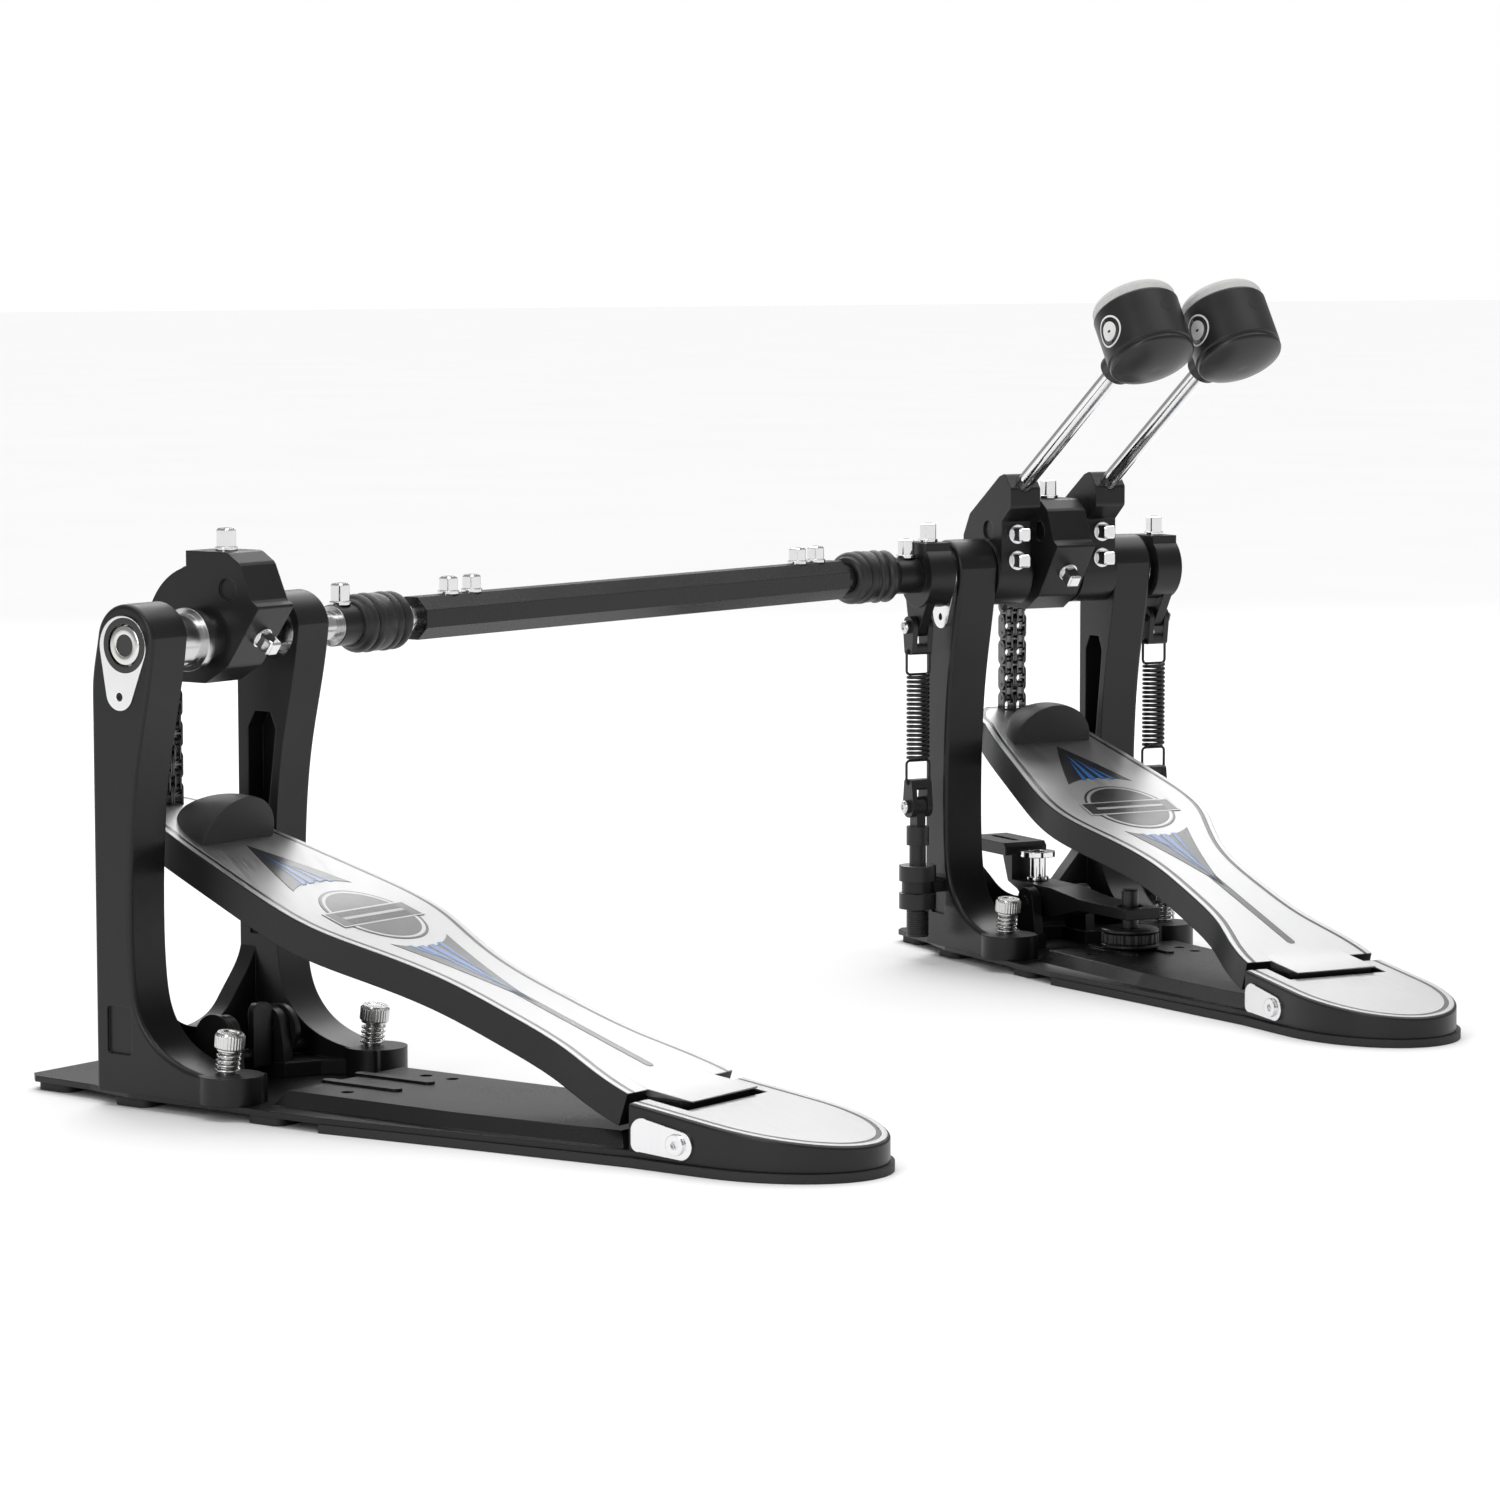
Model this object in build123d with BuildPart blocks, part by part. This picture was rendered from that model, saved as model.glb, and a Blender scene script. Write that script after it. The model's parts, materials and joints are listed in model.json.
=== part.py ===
from build123d import *
from math import cos, radians, sin
import os

# Double bass drum pedal: a primary pedal with two beaters, a slave pedal, and the
# telescopic drive shaft between them. Millimetres. Each pedal is drawn in its own
# frame: X along its axle to the player's right, Y towards the drum, Z up, with the
# floor at Z = 0 under the axle. The row frame is parallel to the primary pedal's.

# ---- driving dimensions -------------------------------------------------------
AXLE_HEIGHT = 185.0
POST_OUTER = 53.3            # outer face of a post, from the pedal's middle
POST_THICKNESS = 20.0
POST_INNER = POST_OUTER - POST_THICKNESS
POST_BACK = 19.5             # drum side face of the posts
PLATE_UNDER = 3.5            # thickness of the rubber below the base plate
PLATE_THICKNESS = 2.5
DECK_TOP = 11.5              # raised middle of the base plate
RIB_LENGTH = 40.0
RIB_HEIGHT = 1.0
FOOT_TOP = 17.0              # top of the casting's feet
SPUR_X = 43.8
SPUR_Y = -42.2
SPUR_TILT = 7.0              # the points lean towards the drum
HINGE_Y = -243.0             # heel hinge axis of the footboard
HINGE_Z = 13.0
BOARD_SLOPE = 18.8           # degrees, at rest
BOARD_HEEL_Y = -233.0
BOARD_HEEL_Z = 26.5
BOARD_DEPTH = 13.0           # top face to the bottom of the skirt
BOARD_SKIN = 4.0
CHAIN_Y = 28.0               # chain's vertical run, on the drum side of the axle
CHAIN_THICK = 6.0
CHAIN_WIDTH = 13.0
AXLE_RADIUS = 6.0
BEARING_RADIUS = 11.0
CAM_HALF_WIDTH = 10.5
COLLAR_RADIUS = 10.5
BEATER_X = 23.5              # each beater, from the primary pedal's middle
ROD_RADIUS = 4.0
ROD_OFFSET = 23.3            # rod axis to axle axis
ROD_LEAN = 56.0              # degrees from upright, towards the heel, at rest
HEAD_ALONG = 171.0           # beater head's middle, along the rod from the axle
HEAD_RADIUS = 20.0
HEAD_ROD_END = 9.0           # how far past the head's middle the rod reaches
HEAD_FRONT = 13.5            # felt side of the head's body, from the rod's axis
HEAD_BACK = -11.5            # groove behind the domed face
LEVER_X = 63.0               # spring levers
LEVER_HALF = 6.6
SPRING_X = 66.0              # springs, clevises and tension rods
LEVER_RADIUS = 15.5
SPRING_Y = 4.0
CLEVIS_PIN_Z = 160.0
ANCHOR_PIN_Z = 74.0
SPRING_RADIUS = 5.5
KEY_SQUARE = 6.3             # drum key square
HEEL_TIP_Y = -324.0
HEEL_HALF = 36.0
CLAMP_Y = -14.0              # cross pin of the clamp's rocker
CLAMP_Z = 27.0
THUMB_Y = 3.0
KNOB_Y = -82.0
SHAFT_RADIUS = 9.0           # drive tube, across its flats
STEM_RADIUS = 6.0
TUBE_LENGTH = 298.0
BOOT_HALF = 15.0             # a boot's middle to its neck
BOOT_START = 3.4             # room for the bend at its middle
BOOT_RADIUS = 12.7
BOOT_NECK = 7.0
YOKE_RADIUS = 8.4
RUNNING = 0.06               # radial clearance of a shaft in its bore
GAP = 0.4                    # clearance between parts that move past each other

# The slave pedal stands to the left, its heel turned towards the primary's.
SLAVE_YAW = 26.3
SLAVE_FROM_PRIMARY = (-497.0, -187.0)
SLAVE_JOINT_X = 96.0         # universal joint centre on the slave's axle line
PRIMARY_JOINT_X = -97.5      # and on the primary's

# Middle of the whole object's footprint, seen from the primary pedal's own origin.
FOOTPRINT_MIDDLE = (-244.51, -206.85)

primary = Location((-FOOTPRINT_MIDDLE[0], -FOOTPRINT_MIDDLE[1], 0))
slave = primary * Location((*SLAVE_FROM_PRIMARY, 0), (0, 0, SLAVE_YAW))

os.makedirs("parts", exist_ok=True)


def save(part, label, place):
    """Put a finished piece in the row frame, label it and write its STEP file."""
    placed = place * part
    placed.label = label
    export_step(placed, f"parts/{label}.step")


def side_plane(x):
    """A plane across the pedal at x: its own X is the pedal's Y, its own Y is up."""
    return Plane(origin=(x, 0, 0), x_dir=(0, 1, 0), z_dir=(1, 0, 0))


def tilted_plane(y, z, slope):
    """A plane through (0, y, z) that climbs towards the drum by slope degrees."""
    s = radians(slope)
    return Plane(origin=(0, y, z), x_dir=(1, 0, 0), z_dir=(0, -sin(s), cos(s)))


board_plane = tilted_plane(BOARD_HEEL_Y, BOARD_HEEL_Z, BOARD_SLOPE)


def along_board(y):
    """Distance up the footboard's face from its heel end, for a given y."""
    return (y - BOARD_HEEL_Y) / cos(radians(BOARD_SLOPE))


# ---- key bolts: drum key screws with a square head and a flange ----------------
def key_bolt(place, head=9.0):
    """Head and flange of one bolt, outwards along the place's Z from its origin."""
    with BuildPart() as bolt:
        with BuildSketch(Plane.XY):
            Circle(4.6)
        extrude(amount=1.4)
        with BuildSketch(Plane.XY.offset(1.4)):
            RectangleRounded(KEY_SQUARE, KEY_SQUARE, 1.2)
        extrude(amount=head - 1.4)
        chamfer(bolt.faces().sort_by(Axis.Z)[-1].edges(), 0.8)
    return place * bolt.part


def bolt_place(x, y, z, direction):
    """Place whose Z runs along direction, given as (y, z) across the pedal."""
    length = (direction[0] ** 2 + direction[1] ** 2) ** 0.5
    plane = Plane(origin=(x, y, z), x_dir=(1, 0, 0), z_dir=(0, direction[0] / length, direction[1] / length))
    return plane.location


# ---- base ---------------------------------------------------------------------
PLATE_SIDE = [(0, 68), (39, 68), (43.5, 63), (45.5, 30), (51, 4), (51, -95), (44, -162), (37, -230), (35.8, -236),
              (35.8, -262), (0, -262)]


def base_plate():
    with BuildPart() as plate:
        with BuildSketch(Plane.XY.offset(PLATE_UNDER)):
            with BuildLine():
                Polyline(*PLATE_SIDE, close=True)
            make_face()
            mirror(about=Plane.YZ)
            with Locations((-SPUR_X, SPUR_Y + 1.6), (SPUR_X, SPUR_Y + 1.6)):
                Circle(4.3, mode=Mode.SUBTRACT)
        extrude(amount=PLATE_THICKNESS)
        # raised deck with sloping sides, from the feet back to the heel, hollow underneath
        low = PLATE_UNDER + PLATE_THICKNESS
        for depth, mode in ((0, Mode.ADD), (PLATE_THICKNESS, Mode.SUBTRACT)):
            with BuildPart(mode=mode):
                for z, inset in ((low - depth, depth), (DECK_TOP - depth, depth + 4.5)):
                    with BuildSketch(Plane.XY.offset(z)):
                        with BuildLine():
                            Polyline((0, -62 - inset), (39 - inset, -62 - inset), (39 - inset, -150),
                                     (33 - inset, -231 + inset), (0, -231 + inset), close=True)
                        make_face()
                        mirror(about=Plane.YZ)
                loft()
        # bolt holes in the deck, and two pressed ribs along it
        with Locations((24, -87.5, DECK_TOP), (24, -101, DECK_TOP), (-6, -74, DECK_TOP), (-24, -87.5, DECK_TOP)):
            Hole(2.6, depth=DECK_TOP)
        with BuildSketch(Plane.XY.offset(DECK_TOP - 0.5)):
            with Locations((-10, -83), (10, -83)):
                SlotOverall(RIB_LENGTH, 5, rotation=90)
        extrude(amount=RIB_HEIGHT + 0.5)
    return plate.part


def rubber_sole():
    """Front sole under the heel half of the plate, and pads under the drum half."""
    with BuildPart() as sole:
        with BuildSketch(Plane.XY):
            with BuildLine():
                Polyline((0, -96), (51.5, -96), (44.6, -165), (38.2, -238), (38.2, -272))
                EllipticalCenterArc((0, -272), 38.2, 53.5, start_angle=-90, arc_size=90)
                Line((0, -325.5), (0, -96))
            make_face()
            mirror(about=Plane.YZ)
        extrude(amount=PLATE_UNDER - 0.01)
        with BuildSketch(Plane.XY):
            with Locations((-32, 55), (32, 55), (-40, 5), (40, 5), (-40, -66), (40, -66)):
                RectangleRounded(20, 18, 4)
        extrude(amount=PLATE_UNDER - 0.01)
    return sole.part


def post_frame(with_brackets):
    """The cast frame: two posts on a cross bar, with feet that carry the spurs."""
    foot_low = PLATE_UNDER + PLATE_THICKNESS
    with BuildPart() as frame:
        with BuildSketch(side_plane(POST_INNER)):
            with BuildLine():
                Line((POST_BACK, foot_low), (POST_BACK, AXLE_HEIGHT - 20))
                Spline((POST_BACK, AXLE_HEIGHT - 20), (16.0, AXLE_HEIGHT + 3), tangents=((0, 1), (-0.18, 1)))
                ThreePointArc((16.0, AXLE_HEIGHT + 3), (1.0, AXLE_HEIGHT + 16.2), (-14.0, AXLE_HEIGHT + 3))
                Spline((-14.0, AXLE_HEIGHT + 3), (-10.5, 166), (-4.5, 138), (-0.8, 105), (0, 75), (-1.0, 52),
                       (-4.5, 37), (-13, 26.5), (-24, 20.5), (-40, FOOT_TOP))
                Polyline((-40, FOOT_TOP), (-54, FOOT_TOP), (-54, foot_low), (POST_BACK, foot_low))
            make_face()
        extrude(amount=POST_THICKNESS)
        # hollow on the inside of the post, and a shallow square on the outside
        with BuildSketch(side_plane(POST_INNER)):
            with BuildLine():
                Polyline((2, 152), (-1, 145), (5, 100), (5, 60), (14, 60), (14, 145), (10, 152), close=True)
            make_face()
        extrude(amount=9, mode=Mode.SUBTRACT)
        with BuildSketch(side_plane(POST_OUTER)):
            with Locations((6.5, 31)):
                RectangleRounded(13, 19, 1.5)
        extrude(amount=-1.2, mode=Mode.SUBTRACT)
        outer_rim = frame.faces().filter_by(Plane.YZ).sort_by(Axis.X)[-1].outer_wire().edges()
        fillet(outer_rim.filter_by(lambda e: e.center().Z > foot_low + 2), 2.0)
        # round boss for the spur at the end of the foot
        with BuildSketch(Plane.XY.offset(foot_low)):
            with Locations((SPUR_X, SPUR_Y - 2)):
                Circle(13)
        extrude(amount=FOOT_TOP - foot_low)
        # gusset that spreads the post's foot inwards, and half the cross bar
        with BuildSketch(Plane.XZ.offset(-POST_BACK)):
            with BuildLine():
                Line((POST_INNER + 1, foot_low), (POST_INNER + 1, 66))
                Spline((POST_INNER + 1, 66), (32, 51), (22, 38), (0, 25), tangents=((0, -1), (-1, -0.15)))
                Polyline((0, 25), (0, foot_low), (POST_INNER + 1, foot_low))
            make_face()
        extrude(amount=8)
        with BuildSketch(Plane.XY.offset(foot_low)):
            with BuildLine():
                Polyline((0, 12), (POST_INNER + 1, 12), (POST_INNER + 1, -40), (26, -30), (11, -24), (11, -2), (0, 2),
                         close=True)
            make_face()
        extrude(amount=6)
        # lugs for the cross pin of the hoop clamp
        with BuildSketch(side_plane(12)):
            with BuildLine():
                Polyline((-2, foot_low), (-24, foot_low), (-21, CLAMP_Z))
                ThreePointArc((-21, CLAMP_Z), (CLAMP_Y, CLAMP_Z + 7), (-7, CLAMP_Z))
                Line((-7, CLAMP_Z), (-2, foot_low))
            make_face()
        extrude(amount=5)
        mirror(about=Plane.YZ)
        # bores: bearings right through the post heads, spur threads, clamp pin
        with BuildSketch(side_plane(-POST_OUTER - 2)):
            with Locations((0, AXLE_HEIGHT)):
                Circle(BEARING_RADIUS)
        extrude(amount=2 * POST_OUTER + 4, mode=Mode.SUBTRACT)
        with BuildSketch(side_plane(-25)):
            with Locations((CLAMP_Y, CLAMP_Z)):
                Circle(3 + RUNNING)
        extrude(amount=50, mode=Mode.SUBTRACT)
        for x in (-SPUR_X, SPUR_X):
            with BuildSketch(spur_plane(x)):
                Circle(3.5 + RUNNING)
            extrude(amount=40, both=True, mode=Mode.SUBTRACT)
        if with_brackets:
            # arm on the outside of each post that holds a spring tension rod
            for side in (-1, 1):
                with BuildSketch(Plane.XY.offset(32.6)):
                    with Locations((side * (POST_OUTER + 6), 7)):
                        Rectangle(13.4, 13)
                    with Locations((side * SPRING_X, SPRING_Y)):
                        Circle(7.6)
                        Circle(4.01, mode=Mode.SUBTRACT)
                extrude(amount=5.6)
    return frame.part


def spur_plane(x):
    """Plane square to a spur's axis, through the top of its boss."""
    s = radians(SPUR_TILT)
    return Plane(origin=(x, SPUR_Y, FOOT_TOP), x_dir=(1, 0, 0), z_dir=(0, -sin(s), cos(s)))


def spur(x):
    """Screw with a knurled head, and a point that bites the floor covering."""
    place = spur_plane(x).location
    with BuildPart() as body:
        with BuildSketch(Plane.XZ):
            with BuildLine():
                Polyline((0, -15.5), (3.5, -11), (3.5, 9.2), (5.9, 9.2), (6.3, 10), (6.6, 16), (5.8, 17), (0, 17),
                         close=True)
            make_face()
        revolve(axis=Axis.Z)
        with BuildSketch(Plane.XY.offset(17)):
            Rectangle(14, 1.6)
        extrude(amount=-1.8, mode=Mode.SUBTRACT)
    return place * body.part


def heel_block():
    """Heel plate: a closed rounded block with two arms that hold the hinge."""
    with BuildPart() as heel:
        with BuildSketch(Plane.XY.offset(PLATE_UNDER)):
            with BuildLine():
                Polyline((0, -236), (HEEL_HALF, -236), (HEEL_HALF, -272))
                EllipticalCenterArc((0, -272), HEEL_HALF, -HEEL_TIP_Y - 272, start_angle=-90, arc_size=90)
                Line((0, HEEL_TIP_Y), (0, -236))
            make_face()
            mirror(about=Plane.YZ)
        extrude(amount=26)
        # sloping top, from the hinge down to the tip
        with BuildSketch(side_plane(-60)):
            with BuildLine():
                Polyline((-230, 24.6), (-330, 11.6), (-330, 40), (-230, 40), close=True)
            make_face()
        extrude(amount=120, mode=Mode.SUBTRACT)
        fillet(heel.faces().sort_by(Axis.Z)[-1].outer_wire().edges().filter_by(lambda e: e.center().Y < -240), 1.0)
        # room for the footboard's knuckle and tongue, and for the plate below
        with BuildSketch(Plane.XY.offset(PLATE_UNDER)):
            with Locations((0, -243)):
                Rectangle(50, 24)
        extrude(amount=30, mode=Mode.SUBTRACT)
        with BuildSketch(Plane.XY.offset(PLATE_UNDER)):
            with BuildLine():
                Polyline((-37.4, -230), (37.4, -230), (37.4, -262.3), (-37.4, -262.3), close=True)
            make_face()
        extrude(amount=PLATE_THICKNESS + 0.01, mode=Mode.SUBTRACT)
        # bore of the hinge pins
        with BuildSketch(side_plane(-60)):
            with Locations((HINGE_Y, HINGE_Z)):
                Circle(3.5)
        extrude(amount=120, mode=Mode.SUBTRACT)
    return heel.part


def hinge_covers():
    """A silver cover and its screw on each side of the heel, with the hinge pin behind."""
    with BuildPart() as covers:
        for side in (-1, 1):
            with BuildSketch(side_plane(side * HEEL_HALF)):
                with BuildLine():
                    Polyline((-237.5, 9.5), (-237.5, 14.5))
                    ThreePointArc((-237.5, 14.5), (-240.2, 18.4), (-245, 18.6))
                    Line((-245, 18.6), (-261, 15.8))
                    ThreePointArc((-261, 15.8), (-265.8, 10.4), (-261, 5.0))
                    Line((-261, 5.0), (-241.5, 6.2))
                    ThreePointArc((-241.5, 6.2), (-238.4, 7), (-237.5, 9.5))
                make_face()
            extrude(amount=side * 1.0)
            with BuildSketch(side_plane(side * (HEEL_HALF + 1.0))):
                with Locations((-258.5, 10.6)):
                    Circle(4.0)
            extrude(amount=side * 1.2)
            with BuildSketch(side_plane(side * (HEEL_HALF + 2.2))):
                with Locations((-258.5, 10.6)):
                    RegularPolygon(1.7, 6)
            extrude(amount=-side * 1.4, mode=Mode.SUBTRACT)
            with BuildSketch(side_plane(side * HEEL_HALF)):
                with Locations((HINGE_Y, HINGE_Z)):
                    Circle(3.5)
            extrude(amount=-side * 23)
    return covers.part


def bearing_housings():
    """Outer ring of each axle bearing, with the silver teardrop plate over it."""
    with BuildPart() as housings:
        for side in (-1, 1):
            with BuildSketch(side_plane(side * (POST_INNER + 5))):
                with Locations((0, AXLE_HEIGHT)):
                    Circle(BEARING_RADIUS)
                    Circle(8.6, mode=Mode.SUBTRACT)
            extrude(amount=side * 14)
            with BuildSketch(side_plane(side * (POST_OUTER + 0.02))):
                with Locations((1, AXLE_HEIGHT - 0.5)):
                    Circle(12.2)
                with Locations((3, AXLE_HEIGHT - 19)):
                    Circle(7.0)
                make_hull()
                with Locations((0, AXLE_HEIGHT)):
                    Circle(9.6, mode=Mode.SUBTRACT)
                with Locations((3, AXLE_HEIGHT - 20.5)):
                    Circle(1.7, mode=Mode.SUBTRACT)
            extrude(amount=side * 1.1)
    return housings.part


# ---- footboard ----------------------------------------------------------------
BOARD_SIDE = [(33, -233), (29, -211), (24.5, -196), (21.5, -165), (22.5, -134), (29.5, -110), (38.8, -84),
              (36.5, -47), (31.3, -20), (28.3, -5), (23.5, 14)]
BOARD_TOE = (13, 34)


def footboard():
    """Cast footboard: a face with a deep skirt, a tongue and a hinge knuckle."""
    with BuildPart() as board:
        edge = [(x, along_board(y)) for x, y in BOARD_SIDE]
        toe = (BOARD_TOE[0], along_board(BOARD_TOE[1]))
        with BuildSketch(board_plane):
            with BuildLine():
                Spline(*edge)
                ThreePointArc(edge[-1], (20.5, along_board(27)), toe)
                Polyline(toe, (0, toe[1]), (0, edge[0][1]), edge[0])
            make_face()
            mirror(about=Plane.YZ)
        extrude(amount=-BOARD_DEPTH)
        with BuildSketch(board_plane.offset(-BOARD_SKIN)):
            with BuildLine():
                inner = [(x - 4, along_board(y)) for x, y in BOARD_SIDE[1:]]
                Spline(*inner)
                Line(inner[-1], (0, inner[-1][1]))
                Line((0, inner[-1][1]), (0, inner[0][1]))
                Line((0, inner[0][1]), inner[0])
            make_face()
            mirror(about=Plane.YZ)
        extrude(amount=-BOARD_DEPTH, mode=Mode.SUBTRACT)
        # tongue over the hinge, and the knuckle that turns on the pins
        with BuildSketch(Plane.XY.offset(19.5)):
            with BuildLine():
                Polyline((-21.5, -228), (21.5, -228), (21.5, -249.5), (-21.5, -249.5), close=True)
            make_face()
        extrude(amount=4.2)
        with BuildSketch(side_plane(-21.5)):
            with Locations((HINGE_Y, HINGE_Z)):
                Circle(6.5)
            with BuildLine():
                Polyline((-249, 22), (-249.3, 15), (-236.6, 11), (-228, 14), (-226, 24), close=True)
            make_face()
        extrude(amount=43)
        with BuildSketch(side_plane(-30)):
            with Locations((HINGE_Y, HINGE_Z)):
                Circle(3.5 + RUNNING)
        extrude(amount=60, mode=Mode.SUBTRACT)
        # drop the skirt's lower edge clear of the base plate at the heel
        with BuildSketch(side_plane(-60)):
            with BuildLine():
                Polyline((-250, 5), (-250, 12.6 - 7), (-228, 14.2), (-200, 14.2), (-200, 5), close=True)
            make_face()
        extrude(amount=30, mode=Mode.SUBTRACT)
        with BuildSketch(side_plane(30)):
            with BuildLine():
                Polyline((-250, 5), (-250, 12.6 - 7), (-228, 14.2), (-200, 14.2), (-200, 5), close=True)
            make_face()
        extrude(amount=30, mode=Mode.SUBTRACT)
        # long groove down the middle of the face
        with BuildSketch(board_plane):
            with BuildLine():
                groove_top = along_board(-112)
                groove_end = along_board(-214)
                Polyline((0, groove_end), (2.0, groove_end + 2), (2.6, along_board(-160)), (0, groove_top), close=True)
            make_face()
            mirror(about=Plane.YZ)
        extrude(amount=-1.2, mode=Mode.SUBTRACT)
    return board.part


def toe_stop():
    """Rubber stop that the toes rest against: a D-shaped wall that tapers to the chain."""
    with BuildPart() as stop:
        wall = Plane(origin=board_plane.from_local_coords((0, along_board(-9.5), 0.05)),
                     x_dir=(1, 0, 0), z_dir=board_plane.y_dir)
        for step, half_width, height in ((0, 21, 19.5), (12, 18.5, 16), (27, 8, 6)):
            with BuildSketch(wall.offset(step)):
                with BuildLine():
                    arc = EllipticalCenterArc((0, 0), half_width, height, start_angle=180, arc_size=180)
                    Line(arc @ 1, arc @ 0)
                make_face()
        loft()
    return stop.part


def chain():
    """Double-row roller chain between the toe and the cam, as its enclosing links."""
    low = BOARD_HEEL_Z + (CHAIN_Y - BOARD_HEEL_Y) * sin(radians(BOARD_SLOPE)) / cos(radians(BOARD_SLOPE)) + GAP
    pitch = 6.35
    with BuildPart() as links:
        z = low + 3
        while z < AXLE_HEIGHT - pitch - 1:
            with BuildSketch(side_plane(-CHAIN_WIDTH / 2)):
                with Locations((CHAIN_Y, z)):
                    Circle(CHAIN_THICK / 2)
            extrude(amount=CHAIN_WIDTH)
            z += pitch
        for x in (-CHAIN_WIDTH / 2, -1, CHAIN_WIDTH / 2 - 2):
            with BuildSketch(side_plane(x)):
                with Locations((CHAIN_Y, (low + AXLE_HEIGHT - pitch) / 2)):
                    Rectangle(4.4, AXLE_HEIGHT - pitch - low - 1)
            extrude(amount=2)
    return links.part


def chain_top_link():
    """The link where the chain leaves the cam."""
    with BuildPart() as link:
        with BuildSketch(side_plane(-CHAIN_WIDTH / 2)):
            with Locations((CHAIN_Y, AXLE_HEIGHT - 2)):
                SlotOverall(7.2, 4.6, rotation=90)
        extrude(amount=CHAIN_WIDTH)
    return link.part


# ---- axle, cam, hubs and levers --------------------------------------------------
def axle(left, right, rings=(), collar=()):
    """Steel axle between two x values, with the bearings' inner rings and a flanged collar."""
    with BuildPart() as shaft:
        with BuildSketch(side_plane(left)):
            with Locations((0, AXLE_HEIGHT)):
                Circle(AXLE_RADIUS)
        extrude(amount=right - left)
        for x in rings:
            with BuildSketch(side_plane(x)):
                with Locations((0, AXLE_HEIGHT)):
                    Circle(BEARING_RADIUS - 2.8)
            extrude(amount=14)
        for x, length, radius in collar:
            with BuildSketch(side_plane(x)):
                with Locations((0, AXLE_HEIGHT)):
                    Circle(radius)
            extrude(amount=length)
    return shaft.part


def cam():
    """Drive cam: a chain wheel on the drum side and a faceted clamp block on the other."""
    h = AXLE_HEIGHT
    with BuildPart() as body:
        with BuildSketch(side_plane(-CAM_HALF_WIDTH)):
            with BuildLine():
                Polyline((7, h + 28), (7, h + 35), (-15, h + 35), (-22, h + 30.5), (-28.5, h + 15.5),
                         (-32, h + 13.5), (-14.5, h - 11), (-2.5, h - 18), (14, h - 18), (21, h - 14.5))
                ThreePointArc((21, h - 14.5), (24.6, h + 6), (7, h + 28))
            make_face()
        extrude(amount=2 * CAM_HALF_WIDTH)
        for x in (-CAM_HALF_WIDTH, CAM_HALF_WIDTH - 2.5):
            with BuildSketch(side_plane(x)):
                with BuildLine():
                    Polyline((7, h + 28.5), (0, h), (20.5, h - 20))
                    ThreePointArc((20.5, h - 20), (28.9, h + 2), (7, h + 28.5))
                make_face()
            extrude(amount=2.5)
        with BuildSketch(side_plane(-CAM_HALF_WIDTH)):
            with Locations((-15, h + 20)):
                Circle(4.6)
        extrude(amount=1.0, mode=Mode.SUBTRACT)
        chamfer(body.edges().filter_by(Axis.X).filter_by(lambda e: e.center().Y < -10), 0.8)
        with BuildSketch(side_plane(-CAM_HALF_WIDTH - 1)):
            with Locations((0, h)):
                Circle(AXLE_RADIUS)
        extrude(amount=2 * CAM_HALF_WIDTH + 2, mode=Mode.SUBTRACT)
    return body.part


def hub(x):
    """Beater hub: an axle boss with a tall clamp block for the beater rod."""
    h = AXLE_HEIGHT
    half = 8.0
    with BuildPart() as body:
        with BuildSketch(side_plane(x - half)):
            with BuildLine():
                Polyline((15.5, h), (21, h + 9), (21, h + 17), (15, h + 27.5), (-13, h + 46.5), (-18, h + 48),
                         (-24, h + 41), (-24, h + 32), (-15.5, h + 25), (-15.5, h), close=True)
            make_face()
        extrude(amount=2 * half)
        fillet(body.edges().filter_by(Axis.X).filter_by(lambda e: e.center().Z > h + 26), 2.0)
        with BuildSketch(side_plane(x - 9.3)):
            with Locations((0, h)):
                Circle(15.5)
        extrude(amount=18.6)
        with BuildSketch(side_plane(x - half)):
            with Locations((-2.5, h + 20.5)):
                Circle(4.6)
        extrude(amount=1.0, mode=Mode.SUBTRACT)
        with BuildSketch(side_plane(x - 12)):
            with Locations((0, h)):
                Circle(AXLE_RADIUS)
        extrude(amount=24, mode=Mode.SUBTRACT)
        with BuildSketch(rod_plane(x, 0)):
            Circle(ROD_RADIUS + RUNNING)
        extrude(amount=60, both=True, mode=Mode.SUBTRACT)
    return body.part


def rod_plane(x, distance):
    """Plane square to a beater rod, at a distance along it from beside the axle."""
    lean = radians(ROD_LEAN)
    along = (0, -sin(lean), cos(lean))
    off = (0, ROD_OFFSET * cos(lean), ROD_OFFSET * sin(lean))
    origin = (x, off[1] + along[1] * distance, AXLE_HEIGHT + off[2] + along[2] * distance)
    return Plane(origin=origin, x_dir=(1, 0, 0), z_dir=along)


def head_plane(x):
    """Plane through the head's middle whose Z points the way the felt faces."""
    lean = radians(ROD_LEAN)
    middle = rod_plane(x, HEAD_ALONG).origin
    return Plane(origin=middle, x_dir=(1, 0, 0), z_dir=(0, cos(lean), sin(lean)))


def beater_rod(x):
    with BuildPart() as rod:
        with BuildSketch(rod_plane(x, -12)):
            Circle(ROD_RADIUS)
        extrude(amount=HEAD_ALONG + HEAD_ROD_END + 12)
        chamfer(rod.edges().filter_by(GeomType.CIRCLE), 0.6)
    return rod.part


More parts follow.
